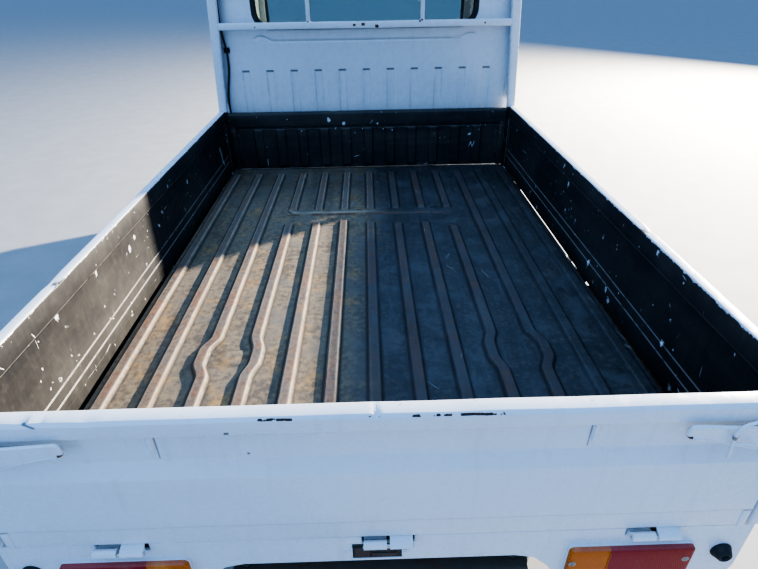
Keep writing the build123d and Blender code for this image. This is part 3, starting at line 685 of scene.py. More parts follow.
def make_tail():
    """Tailgate: white outside and on its lip, black towards the load."""
    m = Mat("tailgate_paint", 0.35, 0, WHITE)
    x, y, z = m.xyz(0), m.xyz(1), m.xyz(2)
    n = m.noise(38, 4, 0.7)
    inside = m.mul(m.step(y, -1.6030, -1.6010), m.step(m.add(z, m.mul(n, 0.012)), 0.9465, 0.9445))
    white, wrough, wf, spots = white_base(m, 0.55, 0.55)
    bare, rim = ragged(m, tail_chips(m), 150, 0.95)
    white = m.mix(m.mul(rim, 0.35), white, (0.36, 0.29, 0.23))
    white = m.mix(bare, white, m.mix(m.step(m.noise(80, 2, 0.5), 0.62, 0.75), RUST_DARK, RUST))
    # painted shade in the shallow folds: along the foot of the belly and in the recess under the top roll
    fold_shade = m.top(m.mul(m.band(z, 0.6915, 0.0017, 0.0013), m.step(y, -1.612, -1.617), 0.75),
                 m.mul(m.band(z, 0.9045, 0.001, 0.0022), m.step(y, -1.604, -1.608), 0.5))
    white = m.mix(fold_shade, white, (0.24, 0.25, 0.26))
    # painted shade: a dark line beside each of the two beads and behind the levers; a few odd marks
    bead = m.mul(m.top(m.band(x, 0.3322, 0.0008, 0.0008), m.band(x, -0.3415, 0.0008, 0.0008)), m.band(z, 0.877, 0.023, 0.005), m.step(y, -1.602, -1.6045))
    white = m.mix(m.mul(bead, 0.8), white, (0.20, 0.20, 0.21))
    behind = m.mul(m.step(m.math("ABSOLUTE", x), 0.478, 0.500), m.band(z, 0.8800, 0.004, 0.006), m.step(y, -1.6135, -1.6105), m.step(y, -1.602, -1.6045))
    white = m.mix(m.mul(behind, 0.85), white, (0.045, 0.045, 0.05))
    stroke = m.mul(m.band(m.add(z, m.mul(x, 0.30)), 0.7844, 0.0010, 0.0010), m.band(x, -0.5115, 0.0085, 0.0025), m.step(y, -1.610, -1.614))
    dot = m.top(m.mul(m.band(x, -0.2257, 0.0030, 0.0015), m.band(z, 0.9143, 0.0016, 0.0012)), m.mul(m.band(x, -0.2027, 0.0014, 0.0012), m.band(z, 0.8567, 0.0016, 0.0012)))
    white = m.mix(m.mul(stroke, 0.8), white, (0.06, 0.06, 0.065))
    white = m.mix(m.mul(dot, m.step(y, -1.602, -1.6045), 0.85), white, (0.10, 0.075, 0.06))
    fine = m.noise(42, 4, 0.65)
    cloud = m.noise(3.4, 5, 0.62)
    black = m.mix(m.step(cloud, 0.35, 0.75), BLACK, BLACK_WORN)
    black = m.mix(m.mul(m.step(fine, 0.52, 0.72), 0.4), black, (0.20, 0.165, 0.125))
    flakes = m.top(flake_mask(m, 15, 2.2, 0.58, (1, 1, 0.8), 0.13), scratch_mask(m, 6, 4.2, 0.66, (2.4, 1, 1), (0.004, 0.011)))
    black = m.mix(flakes, black, white)
    m.color(m.mix(inside, white, black))
    m.rough(m.mixf(inside, m.mixf(bare, wrough, 0.8), 0.5))
    m.bump((m.noise(230, 2, 0.5), 0.05, 0.0004), (m.inv(bare), 0.5, 0.0005), (m.noise(2.6, 2, 0.5), 0.35, 0.006))
    m.set(Coat_Weight=0.15, Coat_Roughness=0.18)
    return m.m


def make_gate():
    """Side gate: white outside and on its lip, black paint inside."""
    m = Mat("gate_paint", 0.4, 0, WHITE)
    x, y, z = m.xyz(0), m.xyz(1), m.xyz(2)
    ax = m.math("ABSOLUTE", x)
    n = m.noise(24, 5, 0.8)
    ragtop = m.add(z, m.mul(n, 0.034))
    outside = m.step(ax, 0.6835, 0.6845)
    toplip = m.step(z, 0.9370, 0.9380)
    worn = m.mul(m.step(ragtop, 0.9535, 0.9565), m.step(z, 0.900, 0.910), 0.9)
    # one long scuff on the left gate near the headboard
    front_strip = m.mul(m.band(m.add(y, m.mul(z, 0.3056)), 0.4528, 0.0075, 0.004), m.band(z, 0.769, 0.043, 0.006), m.step(x, -0.5, -0.6), 0.50)
    end_cap = m.step(y, -1.5885, -1.5895)
    zone = m.top(m.top(outside, toplip), m.top(m.top(worn, end_cap), front_strip))
    black_over_white(m, zone, crease_wear_and_highlight=((887.5, 1.1), (740, 0.6), (712.6, 0.7), (687, 0.4)), chips=1.0, dusty=0.20, flake_keep=0.545)
    # fine brush marks in the black, seen where the sun grazes it, get a painted sheen in black_over_white; here a thin
    # clear coat
    m.set(Coat_Weight=0.1, Coat_Roughness=0.2)
    return m.m


def make_headboard():
    m = Mat("headboard_paint", 0.45, 0, BLACK)
    z = m.xyz(2)
    rail = m.mul(m.band(z, 0.926, 0.006, 0.003), m.step(m.noise(22, 4, 0.75), 0.66, 0.72))
    foot = m.mul(m.band(z, 0.6665, 0.003, 0.003), m.step(m.noise(34, 3, 0.7), 0.60, 0.70), m.step(m.normal(1), -0.55, -0.8), 0.12)
    black_over_white(m, m.top(rail, foot), crease_wear_and_highlight=((850, 0.3),), chips=1.0, dusty=0.45, flake_keep=0.57)
    return m.m


def make_floor():
    """Bed floor: worn black paint under tan dust, rust along the ribs, with painted sunlight on the left and painted
    shade on the right.

    The mesh carries three soft values: rib (1 on the rib tops), edge (the
    rounded shoulders of the ribs) and foot (the crease along their base)."""
    m = Mat("bed_floor_paint", 0.6, 0, BLACK_WORN)
    x, y, z = m.xyz(0), m.xyz(1), m.xyz(2)
    rib, shoulder, foot = m.value("rib"), m.value("edge"), m.value("foot")
    fine = m.noise(75, 5, 0.75)
    mid = m.noise(11, 5, 0.65)
    cloud = m.noise(2.1, 5, 0.6)
    wipe = m.noise(1.0, 4, 0.6, vec=m.stretch((26, 1.6, 1)))
    dark = m.mix(m.step(cloud, 0.3, 0.75), (0.016, 0.021, 0.029), (0.042, 0.049, 0.062))
    dark = m.mix(m.mul(m.step(fine, 0.50, 0.64), 0.55), dark, (0.105, 0.112, 0.125))
    dark = m.mix(m.mul(m.step(m.noise(23, 4, 0.75), 0.52, 0.62), 0.40), dark, (0.012, 0.014, 0.018))
    dark = m.mix(m.mul(m.step(mid, 0.50, 0.66), 0.45), dark, (0.090, 0.102, 0.122))
    # dust, thick on the left, thin on the right and under the cab; this split is painted sunlight and painted shade,
    # and left marks the painted sunlit side
    left = m.step(m.add(x, m.mul(cloud, 0.30), m.mul(mid, 0.12)), 0.27, 0.10)
    rear = m.mixf(m.step(y, 0.10, -0.20), 0.55, 1.0)
    dust_and_sunlight = m.mul(m.add(m.mul(left, rear, 0.80), 0.09), m.add(m.mul(m.step(wipe, 0.25, 0.75), 0.35), 0.72))
    grit = m.step(m.add(m.mul(fine, 0.75), m.mul(mid, 0.45)), 0.48, 0.68)
    dusty = m.math("MINIMUM", m.mul(dust_and_sunlight, m.add(m.mul(grit, 0.75), 0.42)), 0.94)
    tan = m.mix(m.step(mid, 0.35, 0.7), (0.33, 0.245, 0.150), (0.205, 0.175, 0.135))
    tan = m.mix(m.mul(m.step(m.noise(9, 5, 0.7), 0.50, 0.66), 0.75), tan, (0.43, 0.265, 0.110))
    speck = m.noise(150, 3, 0.7)
    tan = m.mix(m.mul(m.step(speck, 0.54, 0.66), 0.45), tan, (0.075, 0.058, 0.045))
    col = m.mix(dusty, dark, tan)
    # flats: warm blotches of old rust, kept to the sunlit left and partly painted sunlight
    flat_rust_and_sunlight = m.mul(m.step(m.noise(6.5, 5, 0.75), 0.60, 0.74), 0.5, left)
    col = m.mix(flat_rust_and_sunlight, col, (0.23, 0.13, 0.075))
    # rib tops: brown primer and rust with grey worn patches, paler on the left as painted sunlight and darker on the
    # right as painted shade
    bloom = m.noise(13, 5, 0.7)
    top_col = m.mix(m.step(bloom, 0.40, 0.62), (0.125, 0.105, 0.098), (0.185, 0.088, 0.055))
    top_col = m.mix(m.mul(m.step(m.noise(26, 4, 0.7), 0.56, 0.68), 0.75), top_col, (0.30, 0.125, 0.055))
    top_col = m.mix(m.mul(left, 0.35, m.step(fine, 0.35, 0.6)), top_col, (0.33, 0.26, 0.19))
    near_mid = m.step(x, 0.52, 0.36)
    top_col = m.mix(m.mul(m.inv(left), m.mixf(near_mid, 0.9, 0.35)), top_col, (0.050, 0.046, 0.048))
    col = m.mix(m.mul(rib, m.mixf(left, m.mixf(near_mid, 0.25, 0.72), 0.86), m.add(m.mul(m.step(m.noise(4.3, 4, 0.6), 0.30, 0.60), 0.5), 0.5)), col, top_col)
    # shoulders rubbed pale by loads and much paler on the left as a painted highlight; base creases darkened as painted
    # shade
    rubbed_and_lit_shoulder = m.mul(shoulder, m.mixf(left, 0.10, 0.62), m.add(m.mul(m.step(m.noise(20, 4, 0.7), 0.36, 0.60), 0.6), 0.4))
    col = m.mix(rubbed_and_lit_shoulder, col, m.mix(left, (0.17, 0.165, 0.16), (0.50, 0.42, 0.33)))
    col = m.mix(m.mul(foot, 0.72), col, (0.016, 0.015, 0.015))
    # painted shade on the side of each rib away from the light, on the left
    col = m.mix(m.mul(m.step(m.normal(0), -0.10, -0.42), left, 0.45), col, (0.050, 0.040, 0.032))
    # long pale smears of old dust, kept to the right, the side in painted shade
    smear = m.mul(m.step(m.noise(1.0, 5, 0.72, vec=m.stretch((52, 3.4, 1))), 0.47, 0.72), m.step(m.noise(2.6, 3, 0.6), 0.35, 0.60), m.inv(left), 0.42)
    col = m.mix(smear, col, (0.105, 0.115, 0.135))
    # pressed step: dark and rusty along its crest
    lip = m.mul(m.band(y, -0.2215, 0.003, 0.004), m.step(m.math("ABSOLUTE", x), 0.345, 0.33), m.step(m.noise(20, 3, 0.6), 0.30, 0.55))
    col = m.mix(m.mul(lip, 0.8), col, (0.12, 0.060, 0.036))
    # crumbs and bits of leaf, pale and dark, then scuffs
    pale = m.mul(m.step(m.voronoi(170), 0.15, 0.09), m.step(m.noise(7, 3, 0.6), 0.58, 0.66))
    col = m.mix(m.mul(pale, 0.75), col, (0.50, 0.47, 0.40))
    bits = m.mul(m.step(m.voronoi(60, vec=m.stretch((1.6, 1, 1), (3, 1, 0))), 0.13, 0.09), m.step(m.noise(9, 3, 0.6, vec=m.stretch((1, 1, 1), (2, 5, 1))), 0.60, 0.64))
    col = m.mix(m.mul(bits, 0.8), col, (0.035, 0.020, 0.013))
    scuff = m.top(scratch_mask(m, 9, 2.0, 0.64, (1, 0.35, 1), (0.004, 0.010)), flake_mask(m, 13, 4.4, 0.68, (1, 1, 1), 0.09))
    col = m.mix(m.mul(scuff, 0.5), col, (0.34, 0.35, 0.36))
    m.color(col)
    m.rough(m.mixf(dusty, m.mixf(m.step(fine, 0.4, 0.7), 0.44, 0.66), 0.92))
    m.bump((m.noise(420, 3, 0.6), 0.35, 0.0005), (fine, 0.30, 0.0012), (mid, 0.25, 0.002), (cloud, 0.4, 0.004))
    return m.m


def make_sill():
    """Body enamel under the bed; its upper face, seen through the gaps beside the floor, is black as painted shade."""
    def shade(m):
        z, ax = m.xyz(2), m.math("ABSOLUTE", m.xyz(0))
        return m.mul(m.step(z, 0.6370, 0.6385), m.step(ax, 0.60, 0.61))
    return make_white("sill_enamel", 0.95, 1.2, None, 0.1, shade)


def make_dark(name, color=(0.022, 0.022, 0.023), rough=0.6, dust=0.5, rust=0.3, metal=0.0):
    """Dusty black underbody paint."""
    m = Mat(name, rough, metal, color)
    fine = m.noise(48, 4, 0.65)
    cloud = m.noise(4.2, 5, 0.6)
    up = m.step(m.normal(2), 0.1, 0.9)
    col = m.mix(m.mul(m.step(cloud, 0.35, 0.72), 0.55 * dust), color, MUD)
    col = m.mix(m.mul(m.step(fine, 0.50, 0.75), 0.5 * dust), col, (0.20, 0.16, 0.12))
    col = m.mix(m.mul(up, 0.5 * dust), col, (0.23, 0.19, 0.145))
    rusty = m.mul(m.step(m.noise(9, 5, 0.75), 0.56, 0.66), rust)
    col = m.mix(rusty, col, m.mix(fine, RUST, RUST_DARK))
    m.color(col).rough(m.mixf(m.step(fine, 0.4, 0.7), rough, min(1.0, rough + 0.25)))
    m.bump((m.noise(300, 2, 0.5), 0.15, 0.0005), (fine, 0.2, 0.0012))
    return m.m


def make_cast(name, color=(0.10, 0.095, 0.09), rust=0.7):
    m = Mat(name, 0.7, 0.35, color)
    fine = m.noise(70, 5, 0.7)
    cloud = m.noise(7, 5, 0.65)
    col = m.mix(m.mul(m.step(cloud, 0.35, 0.65), rust), color, m.mix(fine, RUST, RUST_DARK))
    col = m.mix(m.mul(m.step(m.noise(13, 4, 0.6), 0.52, 0.7), 0.6), col, MUD)
    m.color(col).rough(m.mixf(cloud, 0.55, 0.9))
    m.bump((m.noise(340, 3, 0.6), 0.4, 0.0008), (fine, 0.2, 0.001))
    return m.m


def make_seal():
    """Dull rubber without a sheen, for the seals in the gaps; its dark stands in for shade there."""
    m = Mat("dull_gap_shade_rubber", 0.95, 0, (0.006, 0.006, 0.007))
    m.set(Specular_IOR_Level=0.0)
    m.color(m.mix(m.step(m.noise(44, 4, 0.7), 0.45, 0.75), (0.005, 0.005, 0.006), (0.016, 0.014, 0.012)))
    m.bump((m.noise(300, 2, 0.6), 0.18, 0.0005))
    return m.m


def make_rubber(name, color=(0.018, 0.018, 0.019), dust=0.4, grain=300):
    m = Mat(name, 0.6, 0, color)
    fine = m.noise(44, 4, 0.7)
    col = m.mix(m.mul(m.step(fine, 0.45, 0.75), dust), color, (0.10, 0.088, 0.074))
    m.color(col).rough(m.mixf(fine, 0.5, 0.85))
    m.bump((m.noise(grain, 2, 0.6), 0.18, 0.0005))
    return m.m


def make_tyre():
    m = Mat("tyre_rubber", 0.8, 0, (0.02, 0.02, 0.02))
    fine = m.noise(40, 5, 0.7)
    cloud = m.noise(6, 4, 0.6)
    col = m.mix(m.mul(m.step(cloud, 0.30, 0.70), 0.65), (0.017, 0.017, 0.018), (0.085, 0.072, 0.058))
    col = m.mix(m.mul(m.step(fine, 0.50, 0.75), 0.55), col, (0.16, 0.13, 0.10))
    m.color(col).rough(m.mixf(fine, 0.68, 0.95))
    m.bump((m.noise(260, 3, 0.6), 0.25, 0.0006), (fine, 0.15, 0.001))
    return m.m


def make_rim():
    m = Mat("wheel_paint", 0.42, 0.55, (0.45, 0.46, 0.47))
    fine = m.noise(55, 5, 0.7)
    cloud = m.noise(9, 4, 0.6)
    col = m.mix(m.mul(m.step(cloud, 0.4, 0.7), 0.5), (0.50, 0.51, 0.52), (0.30, 0.27, 0.23))
    rusty = m.step(m.add(fine, m.mul(cloud, 0.6)), 0.92, 1.0)
    col = m.mix(m.mul(rusty, 0.85), col, RUST)
    m.color(col).rough(m.mixf(fine, 0.35, 0.7))
    m.bump((m.noise(260, 2, 0.5), 0.1, 0.0004), (rusty, -0.3, 0.0004))
    return m.m


def make_plastic(name, color, rough=0.55, grain=420, dust=0.35, strength=0.35):
    m = Mat(name, rough, 0, color)
    fine = m.noise(50, 4, 0.7)
    col = m.mix(m.mul(m.step(fine, 0.45, 0.75), dust), color, (0.19, 0.165, 0.14))
    cell = m.voronoi(grain, feature="SMOOTH_F1")
    m.color(col).rough(m.mixf(fine, rough, min(1, rough + 0.2)))
    m.bump((cell, strength, 0.0006), (m.noise(5, 2, 0.5), 0.1, 0.003))
    return m.m


def make_vinyl():
    """Seat cover: dark grained vinyl with creases; the woven insert has its own material."""
    m = Mat("seat_vinyl", 0.5, 0, (0.05, 0.052, 0.058))
    fine = m.noise(46, 4, 0.7)
    grain = m.voronoi(620, feature="DISTANCE_TO_EDGE")
    crease = m.noise(14, 5, 0.7, distortion=0.6)
    col = m.mix(m.mul(m.step(fine, 0.45, 0.75), 0.35), (0.048, 0.050, 0.056), (0.13, 0.12, 0.11))
    col = m.mix(m.mul(m.step(grain, 0.06, 0.0), 0.4), col, (0.018, 0.018, 0.02))
    m.color(col).rough(m.mixf(fine, 0.42, 0.62))
    m.set(Sheen_Weight=0.06)
    m.bump((grain, 0.35, 0.0005), (crease, 0.25, 0.002))
    return m.m


def make_weave():
    """Woven seat insert in grey yarn."""
    m = Mat("seat_weave", 0.9, 0, (0.13, 0.135, 0.145))
    vec = m.stretch((260, 260, 260))
    a = m.math("SINE", m.mul(m.xyz(0), 2400.0))
    b = m.math("SINE", m.mul(m.add(m.xyz(1), m.xyz(2)), 1700.0))
    yarn = m.mul(a, b)
    fine = m.noise(70, 4, 0.7)
    col = m.mix(m.step(yarn, -0.4, 0.6), (0.075, 0.08, 0.09), (0.19, 0.195, 0.205))
    col = m.mix(m.mul(m.step(fine, 0.5, 0.75), 0.35), col, (0.24, 0.21, 0.17))
    m.color(col)
    m.set(Sheen_Weight=0.25, Sheen_Roughness=0.5)
    m.bump((yarn, 0.4, 0.0008), (m.noise(12, 4, 0.6), 0.15, 0.002))
    return m.m


def make_glass(name, tint=(0.80, 0.88, 0.85), dust=0.10):
    m = Mat(name, 0.03, 0, tint)
    fine = m.noise(9, 5, 0.7)
    m.set(Transmission_Weight=1.0, IOR=1.45, Alpha=1.0)
    m.rough(m.mixf(m.step(fine, 0.45, 0.85), 0.02, 0.02 + dust))
    m.color(m.mix(m.mul(m.step(fine, 0.5, 0.8), 0.25), tint, (0.62, 0.60, 0.53)))
    m.bump((m.noise(1.4, 1, 0.4), 0.03, 0.002))
    return m.m


def make_lens():
    """Tail lamp lens: amber inner quarter, red rest, fine prisms inside."""
    m = Mat("tail_lens", 0.18, 0, (0.5, 0.02, 0.02))
    x, y, z = m.xyz(0), m.xyz(1), m.xyz(2)
    amber = m.step(m.math("ABSOLUTE", x), 0.4195, 0.4185)
    ribs = m.math("SINE", m.mul(m.add(x, m.mul(z, 0.35)), 1500.0))
    ribz = m.math("SINE", m.mul(z, 1100.0))
    fine = m.noise(26, 4, 0.6)
    red = m.mix(m.step(ribs, -0.6, 0.9), (0.24, 0.006, 0.008), (0.40, 0.014, 0.014))
    red = m.mix(m.mul(m.step(m.noise(5, 3, 0.5), 0.4, 0.7), 0.5), red, (0.30, 0.006, 0.03))
    ora = m.mix(m.step(m.mul(ribs, ribz), -0.4, 0.6), (0.50, 0.105, 0.006), (0.66, 0.17, 0.012))
    col = m.mix(amber, red, ora)
    bulb = m.mul(amber, m.step(m.noise(16, 2, 0.5), 0.55, 0.70), 0.5)
    col = m.mix(bulb, col, (0.74, 0.30, 0.05))
    # painted highlight: a pale pink line along the lens's upper edge
    edge = m.mul(m.step(z, 0.5925, 0.5975), 0.35)
    col = m.mix(edge, col, (0.62, 0.25, 0.24))
    col = m.mix(m.mul(m.step(fine, 0.56, 0.8), 0.30), col, (0.34, 0.22, 0.17))
    m.color(col).rough(m.mixf(fine, 0.30, 0.50))
    m.bump((ribs, 0.22, 0.0009), (fine, 0.06, 0.001))
    m.set(Specular_IOR_Level=0.22, Coat_Weight=0.04, Coat_Roughness=0.12, Subsurface_Weight=0.12, Subsurface_Radius=(0.02, 0.004, 0.002), Subsurface_Scale=0.5)
    return m.m


def make_clear_lens(name, tint=(0.80, 0.82, 0.82), amber=False):
    m = Mat(name, 0.12, 0, tint)
    x, z = m.xyz(0), m.xyz(2)
    ribs = m.math("SINE", m.mul(x, 640.0))
    rows = m.math("SINE", m.mul(z, 360.0))
    fine = m.noise(30, 4, 0.6)
    if amber:
        col = m.mix(m.step(ribs, -0.5, 0.8), (0.60, 0.17, 0.02), (0.80, 0.31, 0.05))
    else:
        col = m.mix(m.step(ribs, -0.5, 0.8), (0.42, 0.45, 0.47), (0.82, 0.84, 0.84))
        col = m.mix(m.mul(m.step(rows, 0.7, 1.0), 0.5), col, (0.30, 0.32, 0.33))
    col = m.mix(m.mul(m.step(fine, 0.55, 0.8), 0.25), col, (0.50, 0.45, 0.36))
    m.color(col).rough(m.mixf(fine, 0.08, 0.22))
    m.bump((ribs, 0.35, 0.0012), (rows, 0.2, 0.0012))
    m.set(Coat_Weight=0.8, Coat_Roughness=0.05)
    return m.m


def make_bright(name, color=(0.62, 0.60, 0.57), rough=0.28, rust=0.25):
    """Plated or bare steel with rust freckles."""
    m = Mat(name, rough, 0.9, color)
    fine = m.noise(130, 4, 0.7)
    cloud = m.noise(24, 4, 0.6)
    rusty = m.mul(m.step(m.add(fine, m.mul(cloud, 0.5)), 0.83, 0.93), rust * 3.0)
    m.color(m.mix(m.math("MINIMUM", rusty, 1.0), color, RUST))
    m.rough(m.mixf(cloud, rough, rough + 0.25))
    m.bump((fine, 0.12, 0.0004))
    return m.m


M = {
    "white": make_white("body_enamel", 0.55, 0.9),
    "white_clean": make_white("cab_enamel", 0.42, 0.5),
    "tail": make_tail(),
    "gate": make_gate(),
    "head": make_headboard(),
    "floor": make_floor(),
    "sill": make_sill(),
    "frame": make_dark("frame_black", dust=0.6, rust=0.5),
    "cast": make_cast("cast_iron"),
    "exhaust": make_cast("exhaust_steel", (0.16, 0.13, 0.11), 0.85),
    "rubber": make_rubber("black_rubber"),
    "seal": make_seal(),
    "tyre": make_tyre(),
    "rim": make_rim(),
    "bumper": make_plastic("bumper_plastic", (0.035, 0.036, 0.038), 0.55),
    "trim": make_plastic("interior_plastic", (0.075, 0.076, 0.080), 0.6, 520, 0.3),
    "vinyl": make_vinyl(),
    "weave": make_weave(),
    "glass": make_glass("window_glass"),
    "lens": make_lens(),
    "clear": make_clear_lens("lamp_glass"),
    "amber": make_clear_lens("amber_lens", (0.8, 0.3, 0.05), True),
    "steel": make_bright("bare_steel"),
    "rusty": make_bright("rusty_screws", (0.42, 0.38, 0.34), 0.5, 0.4),
    "mirror": make_bright("mirror_glass", (0.85, 0.87, 0.88), 0.03, 0.0),
    "mat": make_rubber("floor_mat", (0.022, 0.022, 0.024), 0.55, 180),
}

# ============================================================== load bed
# ---- floor: rib profile as (offset across, height, top, shoulder, foot)
RIB_HALF = [(0, 10.0, 1, 0, 0), (5, 10.0, 1, 0, 0), (8.5, 10.0, 1, 0.25, 0), (10.8, 9.9, 0.9, 1, 0), (12.4, 9.2, 0.7, 1, 0), (14.4, 6.4, 0.35, 0.35, 0.1),
            (17.2, 1.5, 0.1, 0, 0.9), (19, 0.4, 0, 0, 1), (21.5, 0.0, 0, 0, 0.6), (25, 0.0, 0, 0, 0)]
RIB_PROFILE = [(-o, h, t, s, f) for o, h, t, s, f in reversed(RIB_HALF[1:])] + RIB_HALF
BOSS_X, BOSS_Y = 364.0, -1120.0
JOG = {3: -14.0, 4: 20.0}
RIB_BREAK = {-3: -296, -2: -288, -1: -276, 0: -292, 1: -308, 2: -304, 3: -338}


def rib_centre(n, y):
    t = 1 - smooth((abs(y - BOSS_Y) - 24) / 60)
    return n * 105.0 + JOG.get(abs(n), 0.0) * (1 if n > 0 else -1) * t


def rib_on(n, y):
    if abs(n) <= 3:
        return max(smooth((y + 1556) / 26) * smooth((RIB_BREAK[n] - y) / 26),
                   smooth((y + 186) / 20) * smooth((285 - y) / 26))
    return smooth((y + 1556) / 26) * smooth((285 - y) / 26)


def swage(x, y):
    """Transverse pressed step whose ends curl forwards."""
    ax = abs(x + 8)
    line = -222 + 62 * smooth((ax - 285) / 72)
    fade = 1 - smooth((ax - 318) / 44)
    if fade <= 0:
        return 0.0
    return 5.0 * fade * smooth((y - line + 3) / 7) * (1 - smooth((y - line - 12) / 62))


def floor_bed():
    cols = [("at", -662.5, None), ("at", -656, None)]
    for n in range(-6, 7):
        cols += [("rib", n, p) for p in RIB_PROFILE if abs(n * 105 + p[0]) < 652]
        if n < 6:
            cols += [("mid", n, t) for t in (0.25, 0.5, 0.75)]
    cols += [("at", 656, None), ("at", 662.5, None)]
    rows = merged(stations(-1584, 357.5, 24), stations(-1556, -1528, 7), stations(-1208, -1032, 8),
                  stations(-345, -150, 4.5), stations(256, 287, 8))
    verts, tops, shoulders, feet = [], [], [], []
    for y in rows:
        for kind, a, c in cols:
            h = top = shoulder = foot = 0.0
            if kind == "at":
                x = a
            elif kind == "mid":
                x0, x1 = rib_centre(a, y) + 25, rib_centre(a + 1, y) - 25
                x = x0 + (x1 - x0) * c
            else:
                on = rib_on(a, y)
                x = rib_centre(a, y) + c[0]
                h, top, shoulder, foot = c[1] * on, c[2] * on, c[3] * on, c[4] * on
            d = math.hypot(abs(x) - BOSS_X, y - BOSS_Y)
            press = swage(x, y)
            h = max(h, press, 2.2 * (1 - smooth((d - 27) / 7)))
            shoulder = max(shoulder, 0.8 * smooth((press - 4.0) / 0.8))
            foot = max(foot, 0.7 * bell(d, 36, 3))
            sag = 0.9 * wob(x, y, 0, 210, 2.0) + 0.5 * wob(x, y, 0, 70, 5.0)
            verts.append((x, y, FLOOR_TOP - 0.6 + h + sag))
            tops.append(top)
            shoulders.append(shoulder)
            feet.append(foot)
    b = Build()
    nc, nr = len(cols), len(rows)
    faces = [(j * nc + i, j * nc + i + 1, (j + 1) * nc + i + 1, (j + 1) * nc + i)
             for j in range(nr - 1) for i in range(nc - 1)]
    rim = ([i for i in range(nc)] + [j * nc + nc - 1 for j in range(1, nr)] +
           [(nr - 1) * nc + i for i in range(nc - 2, -1, -1)] + [j * nc for j in range(nr - 2, 0, -1)])
    base = len(verts)
    verts += [(verts[k][0], verts[k][1], FLOOR_BOTTOM) for k in rim]
    m = len(rim)
    faces += [(rim[k], base + k, base + (k + 1) % m, rim[(k + 1) % m]) for k in range(m)]
    faces.append(tuple(base + k for k in reversed(range(m))))
    b.add(verts, faces)
    none = [0.0] * m
    return b.make("bed_floor_skin", M["floor"], "chassis", 40, ["bed_floor"],
                  {"rib": tops + none, "edge": shoulders + none, "foot": feet + none})


floor_bed()

# ---- side gates: (x, z, corner radius) from the lip round the outside
GATE_SECTION = [(671, 940, 4), (694, 940, 4), (697.5, 935, 3), (697.5, 905, 3), (690, 898, 3), (690, 858, 6),
                (697.5, 828, 8), (697.5, 700, 2), (693, 696, 2), (693, 656, 4), (690, 647, 4), (676, 647, 4),
                (676, 684, 2), (673.6, 688, 1.2), (673.6, 711.5, 1.2), (675.8, 713.7, 1.2), (675.8, 739, 1.2), (678, 741.2, 1.2),
                (678, 880, 3), (671, 888, 2.2)]
SIDE_HINGES_Y = (-1380.0, -620.0, 140.0)


def side_gate(name, side):
    outline = round_outline([(u, v) for u, v, r in GATE_SECTION], [r for u, v, r in GATE_SECTION], 3)
    seed = 3.0 + side

    def place(u, v, s):
        dx = 1.1 * wob(0, s, v, 260, seed) - 1.1
        if 752 < v < 884:
            dx += 1.3 * wob(0, s, v, 90, seed + 4)
        dz = 0.0
        if v > 930:
            dz = -0.7 + 0.9 * wob(0, s, 0, 130, seed + 9) - 3.0 * bell(s, -1105 + 90 * side, 16)
        if side < 0:
            dx -= 4.5 * bell(s, -560, 26) * bell(v, 905, 22)
        return (side * (u + dx), s, v + min(0.0, dz))

    b = Build()
    b.prism(outline, place, merged(stations(-1594, 351.5, 26), stations(-1150, -1000, 8)))
    # closed rear end that laps over the tailgate's end, and the front plate
    b.box(side * 655, side * 696.6, -1621, -1589, 649, 940, 6, seg=3)
    b.box(side * 671.5, side * 696.6, 337.5, 351.5, 650, 939.4, 3)
    for y in SIDE_HINGES_Y:
        b.lathe([(0, 0), (0, 6.2), (0.8, 7), (36.2, 7), (37, 6.2), (37, 0)], (side * 689.5, y + 3, 634), (0, 1, 0), 16)
        b.box(side * 683, side * 689, y + 4, y + 39, 634, 656, 1.5)
        for dy in (12, 30):
            b.lathe([(0, 0), (0, 4.6), (1.6, 4.2), (2.6, 2.4), (2.8, 0)], (side * 693.2, y + dy, 668), (side, 0, 0), 12)
    # stake pockets' rub strips on the outer face
    for y in (-1470, -1000, -240, 250):
        b.box(side * 696.4, side * 698.2, y - 9, y + 9, 716, 812, 0.8)
    return b.make("gate_" + name + "_skin", M["gate"], "side_gate_" + name, 34, ["side_gate_" + name])


for name, side in SIDES:
    side_gate(name, side)
    # corner latch of the side gate at the headboard post
    b = Build()
    b.box(side * 697.2, side * 700.5, 290, 338, 846, 872, 1.4)
    b.tube([(side * 699, 296, 868), (side * 702, 300, 876), (side * 702.5, 326, 880), (side * 701, 342, 878)], 3.2, 10)
    b.lathe([(0, 0), (0, 7), (2.5, 6.2), (4, 3), (4.2, 0)], (side * 699.8, 306, 859), (side, 0, 0), 14)
    b.make("gate_latch_" + name, M["steel"], "side_gate_" + name, 34)

# ---- tailgate: (y, z, corner radius) from the top lip round the outside
TAIL_SECTION = [(-1589, 942.5, 3), (-1617, 942.5, 4), (-1621, 936.5, 3), (-1621, 909, 3.5), (-1608, 904, 3.5),
                (-1608, 847, 7), (-1621, 815.5, 6), (-1621, 693, 1.2), (-1618, 690, 1.2), (-1618, 647, 3),
                (-1596, 647, 3), (-1596, 705, 3), (-1600, 712, 3), (-1600, 870, 3), (-1594, 880, 3), (-1589, 888, 3)]
TAIL_HINGES_X = (-457.0, 15.0, 491.0)


